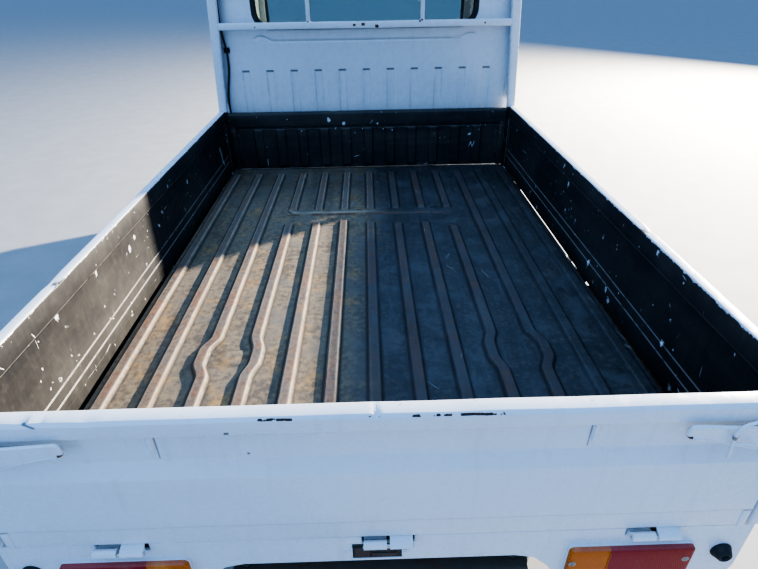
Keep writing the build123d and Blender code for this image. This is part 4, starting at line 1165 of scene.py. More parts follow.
def tailgate():
    rear = [(v, u, r) for u, v, r in TAIL_SECTION]
    # finer belly so that dents show
    dense = []
    for i, (v, u, r) in enumerate(rear):
        dense.append((u, v, r))
        v2, u2, r2 = rear[(i + 1) % len(rear)]
        if math.hypot(v2 - v, u2 - u) > 44:
            k = int(math.hypot(v2 - v, u2 - u) // 22)
            for q in range(1, k):
                dense.append((u + (u2 - u) * q / k, v + (v2 - v) * q / k, 0))
    outline = round_outline([(u, v) for u, v, r in dense], [r for u, v, r in dense], 3)

    def place(u, v, s):
        dy, dz = 0.0, 0.0
        if 650 < v < 820:
            dy += 1.0 + 1.0 * wob(s, 0, v, 190, 1.0)
            if u < -1606:
                dy += 4.0 * bell(s, 263, 13) * bell(v, 667, 11) + 1.6 * bell(s, -300, 60) * bell(v, 762, 26)
                dy += 1.4 * bell(s, 90, 110) * bell(v, 720, 30)
        if v > 930:
            dz = -0.5 + 0.8 * wob(s, 0, 0, 120, 7.0)
            if u < -1603:
                dz -= 3.4 * bell(s, -3, 5) + 1.6 * bell(s, -522, 13) + 1.4 * bell(s, -430, 16) + 1.0 * bell(s, 118, 30)
        if v > 905 and u < -1615:
            dy += 1.3 * bell(s, -3, 7) + 0.9 * bell(s, -505, 20) + 0.5 + 0.5 * wob(s, 0, v, 80, 3.0)
        return (s, u + max(0.0, dy), v + min(0.0, dz))

    b = Build()
    b.prism(outline, place, merged(stations(-647, 647, 15), stations(-22, 18, 3), stations(236, 290, 5),
                                   stations(-545, -405, 6)))
    for side in (-1, 1):
        # rolled end of the gate, with a seam against the belly
        b.box(side * 634, side * 648.6, -1619.5, -1590, 648, 700, 2.5)
    for x, lean in ((-348, -1.0), (339, 0.0)):
        ring = []
        for t in stations(0, 1, 0.1):
            w = 5.2 * (1 - 0.25 * t)
            z = 904 - 52 * t
            out = 5.2 * (1 - smooth((t - 0.55) / 0.45)) + 0.2
            cx = x + lean * t
            ring.append([(cx - w - 3, -1606, z), (cx - w, -1608 - 0.4 * out, z), (cx - w * 0.55, -1608 - out, z),
                         (cx + w * 0.55, -1608 - out, z), (cx + w, -1608 - 0.4 * out, z), (cx + w + 3, -1606, z)])
        b.rings(ring)
    for x in TAIL_HINGES_X:
        # moving hinge leaf: rolled round the pin, flattened towards the rear
        section = round_outline([(-1606, 657), (-1606, 649), (-1618, 643.5), (-1625, 641), (-1630.5, 638.5), (-1632.8, 633.5), (-1631.5, 628.6),
                                 (-1627, 626.8), (-1622, 627.6), (-1619.6, 631), (-1619.4, 638)], 2.0, 3)
        b.prism(section, lambda u, v, s: (s, u, v), stations(x + 2.8, x + 43.5, 10.2))
    return b.make("tailgate_skin", M["tail"], "tailgate", 34, ["tailgate"])


tailgate()

# ---- levers at the tailgate's ends
LEVER = [(467, 892), (471, 914), (580, 908), (688, 901), (690, 862), (600, 862), (556, 873), (474, 887)]


def chips_lever(m):
    ax = m.math("ABSOLUTE", m.xyz(0))
    inner = m.mul(m.band(ax, 0.4720, 0.0035, 0.003), m.band(m.xyz(2), 0.8890, 0.0035, 0.003))
    edge = m.mul(m.step(m.xyz(2), 0.8660, 0.8635), 0.22)
    return m.math("MINIMUM", m.add(m.mul(inner, 0.72), edge, m.mul(m.noise(20, 3, 0.6), 0.16)), 1.0)


M["lever"] = make_white("lever_paint", 0.8, 0.9, chips_lever)
b = Build()
for name, side in SIDES:
    outline = round_outline([(side * u, v) for u, v in LEVER], [8, 8, 2, 6, 6, 2, 2, 7], 5)

    def place(u, v, w, side=side):
        # the paddle bows a little and its lower edge is rolled outwards
        bow = 2.6 * math.sin(math.pi * (abs(u) - 467) / 223) - 0.02 * (v - 887)
        return (u, -1627.5 - w - max(0.0, bow) * 0.5, v)
    b.plate(outline, place, 6.5, 1.8)
    # rolled lower lip
    b.tube([(side * (479 + 15.6 * k), -1633.5, 887.5 - 24.5 * smooth(k / 8)) for k in range(0, 14)], 2.0, 8, slot=1)
    b.lathe([(-19, 0), (-19, 12.2), (-1, 12.2), (0, 11)], (side * 622, -1628, 880), (0, -1, 0), 24, closed=False)
    b.lathe([(0, 0), (0, 9.4), (2.2, 9.0), (3.4, 6.5), (3.4, 0)], (side * 622, -1634.5, 880), (0, -1, 0), 24)
M["lever_lip"] = make_white("lever_lip_paint", 1.4, 1.2, lambda m: m.mul(m.step(m.noise(16, 4, 0.7), 0.42, 0.62), 0.42))
b.make("tailgate_levers", [M["lever"], M["lever_lip"]], "tailgate", 34, ["tailgate_latches"])
# bent wire safety hook hanging on the right lever, with a small collar on it
b = Build()
b.tube([(604, -1626, 921), (592, -1634, 925), (575, -1640, 928), (558, -1641.5, 927.6), (545.3, -1642, 923.9), (537, -1642, 918),
        (533.4, -1642, 908), (533.6, -1642, 896), (534.8, -1642, 880), (536.4, -1641.5, 864), (537.4, -1640.5, 853)], 2.5, 12)
b.tube([(534.5, -1641.5, 884), (541, -1643, 885.5), (551, -1643.2, 885), (561, -1642.6, 882.5), (572, -1641, 878)], 2.1, 10)
b.lathe([(-4, 0), (-3.2, 3.0), (0, 3.7), (3.2, 3.0), (4, 0)], (533.6, -1642, 897), (0.05, 0, 1), 12, slot=1)
b.make("lever_hook", [M["lever"], M["rusty"]], "tailgate", 60)


# ---- rear panel, drawn as (x, z); cut round the hinges and open in the middle below
def panel_chips(m):
    x, z = m.xyz(0), m.xyz(2)
    edge = m.mul(m.step(z, 0.612, 0.630), 0.3, m.step(m.noise(9, 3, 0.6), 0.4, 0.6))
    low = m.mul(m.band(z, 0.5865, 0.0015, 0.002), m.step(m.math("ABSOLUTE", x), 0.30, 0.25), 0.35)
    return m.add(edge, low)


M["panel"] = make_white("rear_panel_paint", 0.65, 1.0, panel_chips)


def rear_panel():
    # notches round the hinges, drawn as pairs of x
    notches = [(x - 47, x + 47) for x in TAIL_HINGES_X]
    top, radii = [(-677, 640.3)], [3]
    for x0, x1 in notches:
        top += [(x0, 640.3), (x0, 619), (x1, 619), (x1, 640.3)]
        radii += [2, 3, 3, 2]
    top += [(677, 640.3)]
    radii += [3]
    outer = round_outline(top + [(677, 505), (640, 470), (345, 470), (318, 528), (286, 560), (250, 568), (-250, 568), (-286, 560), (-318, 528),
                                 (-345, 470), (-640, 470), (-677, 505)],
                          radii + [36, 30, 8, 20, 20, 20, 20, 20, 20, 8, 30, 36], 4)
    b = Build()

    def place(u, v, w):
        dent = 0.8 * wob(u, 0, v, 160, 4.0)
        return (u, -1604.6 - w - max(-0.8, min(0.0, dent)) * (1 if w > 4 else 0) * 0.5, v)
    b.plate(outer, place, 8.0, 1.4)
    # return flange along the lower edge of the cut-out and shelf at the top
    b.box(-252, 252, -1604, -1588, 566.5, 569, 0.8)
    for x0, x1 in zip([-677] + [n[1] + 2 for n in notches], [n[0] - 2 for n in notches] + [677]):
        b.box(x0, x1, -1606, -1590, 631, 639.6, 1.5)
    for side in (-1, 1):
        b.box(side * 560, side * 600, -1605, -1562, 560, 633, 2)
    return b.make("rear_panel_skin", M["panel"], "chassis", 34, ["rear_panel"])


rear_panel()

# dark backing of the hinge notches, and the frame's last cross tube below, which also stands in for the shade seen
# through the cut-out
b = Build()
for x in TAIL_HINGES_X:
    b.box(x - 58, x + 58, -1603.5, -1600, 606, 633, 1.0)
sec = round_outline([(-1602, 456), (-1536, 456), (-1536, 500), (-1602, 500)], 9, 3)
b.prism(sec, lambda u, v, s: (s, u, v), stations(-288, 288, 96))
for side in (-1, 1):
    b.lathe([(0, 0), (0, 11), (5, 11), (6.4, 9), (6.4, 0)], (side * 262, -1569, 500), (0, 0, 1), 6)
b.make("rear_frame_tube", M["frame"], "chassis", 34)

# dark, dull rubber strips that close the gap between the bed and its gates, a dark sheet standing in for the shade in
# that gap
b = Build()


def edge_strip(side, y0, y1, x1):
    ring = []
    for y in merged(stations(y0, y1, 22), [h + o for h in SIDE_HINGES_Y for o in (-6, -3, 46, 49) if y0 < h + o < y1]):
        wave = 0.4 * wob(0, y, 0, 46, 3.0 + side)
        # kept away from the hinge leaves that turn with the gate
        near_leaf = any(h - 5 < y < h + 48 for h in SIDE_HINGES_Y)
        out = min(x1 + wave, 676.4 if near_leaf else 699)
        ring.append([(side * 669.6, y, 630), (side * out, y, 631), (side * out, y, 639.6), (side * 669.6, y, 640.6)])
    b.rings(ring)


edge_strip(-1, -1583, 352, 687.0)
for y0, y1, x1 in ((-1583, -782, 687.0), (-782, -748, 676.5), (-748, -674, 687.0), (-674, 72, 679.5), (72, 352, 687.0)):
    edge_strip(1, y0, y1, x1)
b.box(-657, 657, 356, 379, 646, 653, 1.5)
b.make("bed_edge_strips", M["seal"], "chassis", 40)

# dark pocket of the plate lamp, framed in the panel below the middle hinge
b = Build()
b.box(-50, 40, -1613.6, -1612.4, 579, 619, 0.4, slot=1)
b.box(-46, -18, -1616.0, -1613.0, 584, 612, 1.2, slot=2)
b.box(-15, 31, -1614.8, -1613.0, 582, 593, 0.8, slot=2)
b.lathe([(0, 0), (0, 5.2), (3.4, 4.8), (4.4, 2.0), (4.4, 0)], (14, -1613.4, 606), (0, -1, 0), 16, slot=2)
for x0, x1, z0, z1 in ((-52.4, -49.6, 577.5, 611), (39.6, 42.4, 577.5, 611), (-52.4, 42.4, 576.4, 579.4)):
    b.box(x0, x1, -1615.2, -1612.6, z0, z1, 1.1)
for x, z in ((-57, 594.8), (46, 592.7)):
    b.lathe([(0, 0), (0, 6.4), (1.0, 6.0), (1.2, 3.2), (2.6, 2.8), (3.0, 0)], (x, -1612.8, z), (0, -1, 0), 20)
b.make("plate_lamp_pocket", [M["panel"], M["frame"], M["cast"]], "chassis", 34)

# ---- fixed hinge halves
M["hinge"] = make_white("hinge_paint", 0.35, 0.6, lambda m: m.mul(m.step(m.noise(12, 4, 0.7), 0.5, 0.72), 0.36))
b = Build()
for x in TAIL_HINGES_X:
    section = round_outline([(-1604, 622), (-1613, 620), (-1621, 624), (-1627, 626.8), (-1631.5, 628.6), (-1632.8, 633.5), (-1630.8, 640.5),
                             (-1626, 643.5), (-1621, 642), (-1618, 637), (-1613, 633), (-1604, 632)], 2.0, 3)
    b.prism(section, lambda u, v, s: (s, u, v), stations(x - 43.5, x - 2.8, 10.2))
    b.lathe([(0, 0), (0, 3.4), (1, 3.9), (2, 4.0), (88, 4.0), (89, 3.9), (90, 3.4), (90, 0)], (x - 45.0, -1627, 633), (1, 0, 0), 16, slot=1)
for name, side in SIDES:
    for y in SIDE_HINGES_Y:
        b.lathe([(0, 0), (0, 6.2), (0.8, 7), (36.2, 7), (37, 6.2), (37, 0)], (side * 689.5, y - 40, 634), (0, 1, 0), 16)
        b.lathe([(0, 0), (0, 3.2), (1, 3.5), (81, 3.5), (82, 3.2), (82, 0)], (side * 689.5, y - 42, 634), (0, 1, 0), 12, slot=1)
        b.box(side * 672, side * 676, y - 39, y - 4, 607, 640, 1.2)
        b.box(side * 673, side * 689, y - 39, y - 4, 632, 639, 1.2)
b.make("hinge_halves", [M["hinge"], M["steel"]], "chassis", 34, ["gate_hinges"])

# ---- tail lamps: lens, pale housing and two screws each
b = Build()
for name, side in SIDES:
    outline = round_outline([(side * 346.2, 498.2), (side * 346.2, 597), (side * 575.8, 597), (side * 575.8, 498.2)], [9, 9, 9, 9], 5)

    def place(u, v, w):
        crown = 1.5 * (1 - ((abs(u) - 461) / 116) ** 2) * (1 - ((v - 547.5) / 50) ** 2)
        return (u, -1614 - w - (max(0.0, crown) if w > 10 else 0), v)
    rings = []
    for k, (ins, w) in enumerate(((0, 0), (0, 9.5), (0.8, 11.5), (2.4, 12.9), (5, 13.4), (20, 13.4), (36, 13.4))):
        rings.append([place(u, v, w) for u, v in inset_outline(outline, ins)] if ins < 12 else
                     [place(side * 461.25 + (u - side * 461.25) * (1 - ins / 116), 547.5 + (v - 547.5) * (1 - ins / 50), w) for u, v in outline])
    b.rings(rings)
    # raised divider between the amber and red fields
    b.box(side * 417.6, side * 420.4, -1629.4, -1620, 503, 592, 0.8)
b.make("tail_lamp_lens", M["lens"], "chassis", 40, ["tail_lamps"])
b = Build()
for name, side in SIDES:
    out = round_outline([(side * 345, 497), (side * 345, 598), (side * 577, 598), (side * 577, 497)], [10, 10, 10, 10], 5)
    b.rings([[(u, -1612.6, v) for u, v in out], [(u, -1617.5, v) for u, v in out],
             [(u, -1618.0, v) for u, v in inset_outline(out, 0.8)], [(u, -1612.6, v) for u, v in inset_outline(out, 1.6)]], loop=True)
b.make("tail_lamp_gasket", M["panel"], "chassis", 40)
b = Build()
for name, side in SIDES:
    for x, z in ((353, 560), (562, 565)):
        b.lathe([(0, 0), (0, 7.0), (1.2, 6.6), (1.8, 4.4), (1.2, 3.2), (1.2, 0)], (side * x, -1627.2, z), (0, -1, 0), 20)
        b.box(side * x - 3.6, side * x + 3.6, -1629.2, -1626, z - 0.8, z + 0.8, 0.3)
        b.box(side * x - 0.8, side * x + 0.8, -1629.2, -1626, z - 3.6, z + 3.6, 0.3)
b.make("tail_lamp_screws", M["rusty"], "chassis", 40)

# ---- rubber stops: hollow cones with a rolled rim
b = Build()
for name, side in SIDES:
    b.lathe([(0, 0), (0, 19.0), (1.4, 19.4), (4, 18.6), (9, 15.7), (12.5, 14.4), (16, 12.9), (17.6, 10.7), (17.2, 8.3), (15, 6.8), (11, 6.1), (11, 0)],
            (side * 636, -1612.6, 566), (0, -1, 0), 36)
b.make("rubber_stops", M["rubber"], "chassis", 50, ["bump_stops"])

# small hooks for load ropes under the bed
b = Build()
for name, side in SIDES:
    for y in (-1460, -1180, -900, -420, -140, 220):
        b.tube([(side * 654, y, 598), (side * 662, y, 596), (side * 667, y, 588), (side * 666, y, 578), (side * 659, y, 572),
                (side * 650, y, 574), (side * 646, y, 582)], 3.6, 10)
b.make("rope_hooks", M["frame"], "chassis", 60)


# ---- headboard: pressed sheet with ribs, folded rail on top
def headboard():
    b = Build()
    ribs = [n * 105.0 for n in range(-5, 6)]
    xs = merged(stations(-657, 657, 26), [r + o for r in ribs for o in (-26, -21, -18, 18, 21, 26)])
    zs = merged(stations(660, 868, 26), [664, 668, 676, 843, 850, 858])
    front, back = [], []
    for z in zs:
        row, row2 = [], []
        for x in xs:
            up = smooth((z - 665) / 9) * smooth((856 - z) / 10)
            rise = 0.0
            for r in ribs:
                rise = max(rise, 8.5 * (1 - smooth((abs(x - r) - 18) / 6)) * up)
            dent = 1.5 * wob(x, 0, z, 120, 6.0)
            row.append((x, 372 - rise - dent * 0.6, z))
            row2.append((x, 376.5 - rise * 0.9, z))
        front.append(row)
        back.append(row2)
    n, m = len(xs), len(zs)
    verts = [p for r in front for p in r] + [p for r in back for p in r]
    off = n * m
    faces = []
    for j in range(m - 1):
        for i in range(n - 1):
            a = j * n + i
            faces.append((a, a + 1, a + n + 1, a + n))
            faces.append((off + a + n, off + a + n + 1, off + a + 1, off + a))
    rim = [i for i in range(n)] + [j * n + n - 1 for j in range(1, m)] + [(m - 1) * n + i for i in range(n - 2, -1, -1)] + [j * n for j in range(m - 2, 0, -1)]
    for k in range(len(rim)):
        a, c = rim[k], rim[(k + 1) % len(rim)]
        faces.append((a, off + a, off + c, c))
    b.add(verts, faces)
    rail = round_outline([(357.8, 866), (357.8, 921), (364, 930.2), (382, 930.2), (387, 925), (387, 866), (381, 866), (381, 900), (364, 900), (364, 866)],
                         [2, 5, 4, 4, 4, 1, 1, 3, 3, 1], 3)

    def place(u, v, s):
        dz = -0.8 - 0.8 * wob(s, 0, 0, 110, 2.0) - 2.4 * bell(s, -160, 18) if v > 915 else 0
        dy = 0.9 * wob(s, 0, v, 90, 8.0) if u < 362 else 0
        return (s, u + max(0, dy), v + min(0, dz))
    b.prism(rail, place, stations(-657.5, 657.5, 18))
    for side in (-1, 1):
        b.box(side * 630, side * 657.6, 358, 387, 659, 870, 3)
        # corner gusset with a bolt
        b.box(side * 612, side * 632, 363.5, 368, 700, 830, 2)
        for z in (720, 812):
            b.lathe([(0, 0), (0, 7), (4.4, 7), (5, 6), (5, 0)], (side * 622, 364, z), (0, -1, 0), 6)
    return b.make("headboard_skin", M["head"], "chassis", 30, ["bed_headboard"])


headboard()


# ---- guard frame behind the cab
def guard_chips(m):
    x, z = m.xyz(0), m.xyz(2)
    spot = lambda cx, cz, r: m.mul(m.band(x, cx, r, 0.012), m.band(z, cz, r * 0.7, 0.012))
    near = lambda cx, cz, r: m.mul(m.band(x, cx, r, r * 0.8), m.band(z, cz, r * 0.8, r * 0.6))
    knots = m.top(m.top(near(-0.049, 1.295, 0.0045), near(-0.0105, 1.297, 0.0055)), m.top(near(0.049, 1.289, 0.006), near(0.237, 1.306, 0.0030)))
    knots = m.top(knots, m.top(m.top(near(-0.481, 1.292, 0.0025), near(0.523, 1.295, 0.0032)), m.top(near(0.246, 1.311, 0.003), near(-0.250, 1.311, 0.0025))))
    low = m.mul(m.step(z, 0.60, 0.57), 0.3)
    return m.math("MINIMUM", m.add(m.mul(knots, 0.80), low, m.mul(m.step(m.noise(5, 3, 0.6), 0.58, 0.7), 0.24)), 1.0)


def guard_black(m):
    """The posts are brushed black where they stand beside the headboard."""
    return m.mul(m.step(m.add(m.xyz(2), m.mul(m.noise(30, 3, 0.6), 0.006)), 0.941, 0.937), m.step(m.math("ABSOLUTE", m.xyz(0)), 0.6745, 0.6725))


M["guard"] = make_white("guard_paint", 0.5, 1.0, guard_chips, 0.15, guard_black)


def guard():
    b = Build()
    for side in (-1, 1):
        # centre line of the post as (x, z) with its half width
        line = [(677.5, 560, 18), (677.5, 930, 18), (676, 960, 18), (664.5, 1180, 19), (652, 1390, 20), (644, 1540, 19.5), (638.5, 1645, 19)]
        rings = []
        for x, z, h in line:
            sec = round_outline([(x - h, 358.5), (x + h, 358.5), (x + h, 386.5), (x - h, 386.5)], 5, 3)
            rings.append([(side * u, v + 0.6 * wob(0, 0, z, 90, side), z) for u, v in sec])
        b.rings(rings)
        # bend at the top towards the top bar
        arc = []
        for k in range(7):
            a = math.pi / 2 * k / 6
            cx, cz, r = 612.0, 1646.0, 26.5
            px, pz = cx + r * math.cos(a), cz + r * math.sin(a)
            arc.append([(side * (px + w * math.cos(a)), y, pz + w * math.sin(a)) for w, y in
                        round_outline([(-17, 358.5), (17, 358.5), (17, 386.5), (-17, 386.5)], 5, 3)])
        b.rings(arc)
        # web that ties the post to the cab's corner
        rings = []
        for x, z, h in line[2:]:
            rings.append([(side * (x + dx), y, z) for dx, y in ((-1.5, 384), (1.5, 384), (1.5, 452), (-1.5, 452))])
        b.rings(rings)
        # flange that carries the post, with bolts
        b.box(side * 661, side * 694, 354, 358.6, 580, 640, 1.6)
        for z in (594, 626):
            b.lathe([(0, 0), (0, 8), (5, 8), (6, 6.6), (6, 0)], (side * 677, 355, z), (0, -1, 0), 6)
        # upright bar before the window
        b.box(side * 239, side * 257, 363, 381, 1306, 1660, 4, seg=3)
        # fillet welds
        for z0 in (1306.5,):
            b.lathe([(-3, 0), (-3, 13.5), (0, 12.8), (4, 10.2), (4, 0)], (side * 248, 372, z0 + 3), (0, 0, 1), 16)
    sec = round_outline([(360.5, 1281), (385.5, 1281), (385.5, 1309.5), (360.5, 1309.5)], 4.5, 3)
    b.prism(sec, lambda u, v, s: (s, u, v - 0.8 * smooth((200 - abs(s - 40)) / 200)), stations(-640, 640, 32))
    sec = round_outline([(359, 1656), (386, 1656), (386, 1689.6), (359, 1689.6)], 5, 3)
    b.prism(sec, lambda u, v, s: (s, u, v), stations(-614, 614, 60))
    return b.make("guard_frame_skin", M["guard"], "chassis", 34, ["guard_frame"])


guard()

# ---- sills and cross bearers under the bed
b = Build()
for side in (-1, 1):
    sec = round_outline([(632, 586), (671.5, 586), (671.5, 640), (660, 640), (660, 645.5), (632, 645.5)], [3, 3, 3, 1, 1, 1], 2)
    b.prism(sec, lambda u, v, s: (side * u, s, v), stations(-1583.5, 357, 97))
    b.box(side * 298, side * 337, -1560, 340, 521, 601, 4)
for y in (-1540, -1240, -560, -250, 60, 320):
    # hat section bearer
    sec = round_outline([(-22, 645.5), (-22, 640), (-15, 640), (-12, 601), (12, 601), (15, 640), (22, 640), (22, 645.5)], [1, 1, 2, 4, 4, 2, 1, 1], 2)
    b.prism(sec, lambda u, v, s: (s, y + u, v), stations(-633, 633, 211))
for side in (-1, 1):
    for y in (-1500, -700, 100):
        b.lathe([(0, 0), (0, 9), (6, 9), (7.4, 7.4), (7.4, 0)], (side * 655, y, 586.6), (0, 0, -1), 6)
b.make("sill_frame", M["sill"], "chassis", 34, ["bed_sills"])

# mud flaps behind the rear wheels
b = Build()
for side in (-1, 1):
    out = round_outline([(500, 300), (660, 300), (660, 560), (500, 560)], [16, 16, 3, 3], 4)
    b.plate(out, lambda u, v, w: (side * u, -1196 - w - 14 * ((560 - v) / 260) ** 2, v), 4.5, 1.0)
    b.box(side * 500, side * 660, -1198, -1192, 556, 600, 1.5, slot=1)
b.make("mud_flaps", [M["rubber"], M["frame"]], "chassis", 34)

# ==================================================================== cab
CORNER = 48.0
RAKE = (1570 - 1205) / (1705 - 1090)


def corner(u, half, r=CORNER):
    """Unrolled distance across the cab to (x, depth behind the face, angle)."""
    a = abs(u) - (half - r)
    s = 1 if u >= 0 else -1
    if a <= 0:
        return u, 0.0, 0.0
    if a <= r * math.pi / 2:
        t = a / r
        return s * (half - r + r * math.sin(t)), r * (1 - math.cos(t)), t
    return s * half, r + a - r * math.pi / 2, math.pi / 2


# ---- rear wall: sunk ribs below, one long groove, window opening
WALL_RIBS = [n * 111.2 - 1 for n in range(-5, 6)]
REAR_WINDOW = round_outline([(-492, 1284), (492, 1284), (492, 1610), (-492, 1610)], 65, 8)
GROOVE = [(-493, 1240), (-486, 1247), (-470, 1251), (-450, 1244), (-424, 1232), (-300, 1230.5), (0, 1231), (383, 1230.5),
          (430, 1238), (452, 1246), (468, 1250.5), (490, 1248)]


def path_distance(u, v, path):
    best = 1e9
    for (a, fa), (c, fc) in zip(path, path[1:]):
        d = Vector((c - a, fc - fa))
        t = max(0.0, min(1.0, ((u - a) * d.x + (v - fa) * d.y) / d.length_squared))
        best = min(best, math.hypot(u - a - d.x * t, v - fa - d.y * t))
    return best


def wall_press(u, v):
    """Depth pressed inwards at a place on the rear wall."""
    deep = 0.0
    for r in WALL_RIBS:
        e = abs(u - r)
        if e < 20:
            top = smooth((1109 - v) / 8) * smooth((v - 640) / 12)
            deep = max(deep, 3.4 * (1 - smooth((e - 13) / 6)) * top)
    if 1216 < v < 1266:
        deep = max(deep, 3.0 * (1 - smooth((path_distance(u, v, GROOVE) - 2.5) / 5.0)))
    return deep


def rear_wall():
    top = cab_half(1690) + 9
    outline = [(-699, 430), (-352, 430), (-352, 634), (352, 634), (352, 430), (699, 430), (699, 1085), (top, 1690), (-top, 1690), (-699, 1085)]
    us = merged(stations(-690, 690, 30), [r + o for r in WALL_RIBS for o in (-19.5, -16, -13, 13, 16, 19.5)], stations(-496, -412, 6),
                stations(400, 496, 6), stations(642, 699, 9), stations(-699, -642, 9))
    vs = merged(stations(440, 1690, 30), [640, 646, 652, 1100, 1103, 1106, 1109, 1112], stations(1219, 1261, 3.2))

    def place(u, v, w):
        x, d, t = corner(u, cab_half(v))
        s = 1 if u >= 0 else -1
        dent = 0.9 * wob(u, 0, v, 210, 3.0) + 0.45 * wob(u, 0, v, 70, 6.0)
        dent += 3.0 * bell(u, 395, 22) * bell(v, 1205, 16) + 2.0 * bell(u, 150, 60) * bell(v, 1190, 26)
        back = 27.0 * w + (0 if w else wall_press(u, v) + max(0.0, dent + 0.6))
        return (x - s * math.sin(t) * back, CAB_REAR + d + math.cos(t) * back, v)
    b = Build()
    sheet(b, outline, [REAR_WINDOW], us, vs, place, step=30, gap=2.2)
    # joint strips at both corners
    for side in (-1, 1):
        b.tube([(side * (cab_half(z) - 7), 428.5, z) for z in stations(640, 1660, 60)], 2.2, 8)
    return b.make("rear_wall_skin", M["wall"], "chassis", 30, ["cab_rear_wall"])


def make_wall():
    """Cab enamel with painted shade under the rib tops, beside the ribs and along the long groove, and grime along the
    lower edge.
    """
    m = Mat("cab_wall_paint", 0.36, 0, WHITE)
    col, rough, fine, spots = white_base(m, 0.35, 0.6)
    x, z = m.xyz(0), m.xyz(2)
    # painted shade: a dark dash under each rib's top
    phase = m.math("PINGPONG", m.add(x, 0.001 + 0.0556 * 20), 0.0556)
    rib_top_shade = m.mul(m.band(z, 1.1045, 0.0036, 0.0022), m.step(phase, 0.0185, 0.0155), m.step(m.math("ABSOLUTE", m.add(x, 0.001)), 0.585, 0.58))
    col = m.mix(m.mul(rib_top_shade, 0.72), col, (0.12, 0.12, 0.12))
    # painted shade in patches along both edges of each rib, below its top
    gully = m.mul(m.band(phase, 0.0165, 0.0012, 0.0025), m.step(z, 1.104, 1.09), m.step(m.noise(10, 3, 0.6), 0.35, 0.6))
    col = m.mix(m.mul(gully, 0.30), col, (0.34, 0.33, 0.31))
    # painted shade along the long groove
    arm = m.mul(m.step(m.math("ABSOLUTE", x), 0.415, 0.462), 0.0195)
    groove = m.mul(m.band(m.add(z, m.mul(arm, -1.0)), 1.2308, 0.0016, 0.0022), m.step(m.math("ABSOLUTE", x), 0.492, 0.484))
    col = m.mix(m.mul(groove, 0.50), col, (0.26, 0.27, 0.28))
    foot = m.mul(m.step(m.add(z, m.mul(m.noise(6, 4, 0.65), 0.10)), 1.03, 0.965), 0.26)
    col = m.mix(foot, col, (0.40, 0.39, 0.36))
    band = m.mul(m.band(z, 1.02, 0.02, 0.05), m.step(m.noise(1.0, 3, 0.6, vec=m.stretch((60, 60, 3))), 0.45, 0.65), 0.13)
    col = m.mix(band, col, (0.42, 0.41, 0.38))
    m.color(col).rough(rough)
    m.bump((m.noise(230, 2, 0.5), 0.05, 0.0004), (m.noise(3.1, 2, 0.5), 0.25, 0.004))
    m.set(Coat_Weight=0.15, Coat_Roughness=0.18)
    return m.m


M["wall"] = make_wall()
rear_wall()

# black rubber gasket round the rear window, with its inner locking lip
b = Build()
strip(b, REAR_WINDOW, lambda u, v, w: (u, CAB_REAR + 1.0 - w, v), 9, -2.0, 3.6)
strip(b, inset_outline(REAR_WINDOW, 8), lambda u, v, w: (u, 428.0 - w, v), 5, -8.0, 4.0)
b.make("rear_window_gasket", M["rubber"], "chassis", 50)

# ---- roof: rings along the side profile, each a closed cross section
ROOF_PATH = [(417, 1690), (417.6, 1697), (421, 1707), (431, 1719), (449, 1731), (474, 1740), (505, 1744.3), (560, 1745),
             (700, 1745), (850, 1745), (1000, 1745), (1075, 1744.3), (1110, 1741.5), (1145, 1732), (1172, 1719), (1192, 1706),
             (1207, 1691), (1219, 1676), (1231, 1658)]


def roof():
    b = Build()
    across = [(567 + 48 * math.sin(a), 48 * (1 - math.cos(a))) for a in [math.radians(t) for t in (0, 12, 24, 36, 48, 60, 72)]]
    across = [(x, d) for x, d in across] + [(615.5, 46), (619, 70)]
    flat = merged(stations(0, 560, 28), [150, 158, 166, 198, 206, 214, 376, 384, 392, 424, 432, 440])
    rings = []
    n = len(ROOF_PATH)
    dense = []
    for i in range(n - 1):
        a, c = Vector(ROOF_PATH[i]), Vector(ROOF_PATH[i + 1])
        k = max(1, int((c - a).length // 40))
        dense += [a + (c - a) * q / k for q in range(k)]
    dense.append(Vector(ROOF_PATH[-1]))
    for i, p in enumerate(dense):
        t = dense[min(i + 1, len(dense) - 1)] - dense[max(i - 1, 0)]
        t.normalize()
        normal = Vector((-t.y, t.x))
        up = max(0.0, normal.y)
        outer = []
        for x, edge in [(f, 0.0) for f in flat] + across:
            bead = 0.0
            for r in (182, 408):
                bead = max(bead, 3.4 * (1 - smooth((abs(x - r) - 16) / 16)))
            bead *= smooth((p.x - 520) / 40) * smooth((1080 - p.x) / 40) * (1 if x < 560 else 0)
            d = 0.4 + up * (3.6 + 5.0 * (x / 600) ** 2) - bead * up + edge
            outer.append((x, d))
        loop = [(-x, d) for x, d in reversed(outer[1:])] + outer
        ring = [(x, p.x - normal.x * d, p.y - normal.y * d) for x, d in loop]
        inner = [(x * 0.955, p.x - normal.x * (min(d, 48) + 26), p.y - normal.y * (min(d, 48) + 26)) for x, d in loop]
        rings.append(ring + list(reversed(inner)))
    b.rings(rings)
    return b.make("roof_skin", M["white_clean"], "chassis", 30, ["cab_roof"])


roof()


def side_x(z, out=0.0):
    return cab_half(z) + out


# drip rails: along the roof's sides and down the front pillars
b = Build()
for name, side in SIDES:
    path = [(432, 1660), (440, 1676), (470, 1684), (760, 1686), (1000, 1686), (1120, 1680), (1166, 1660), (1200, 1612), (1330, 1392), (1480, 1138), (1500, 1100)]
    rings = []
    for i, (y, z) in enumerate(path):
        a, c = Vector(path[max(0, i - 1)]), Vector(path[min(len(path) - 1, i + 1)])
        t = (c - a).normalized()
        nrm = Vector((-t.y, t.x))
        x = side_x(z)
        ring = []
        for o, w in ((-3, 0), (4.5, 0.5), (6.5, 3.5), (6.5, 9), (4.5, 10.5), (3.2, 9), (3.2, 4.5), (-3, 4.0)):
            ring.append((side * (x + o), y + nrm.x * (w - 4), z + nrm.y * (w - 4)))
        rings.append(ring)
    b.rings(rings)
b.make("drip_rails", M["white_clean"], "chassis", 40)


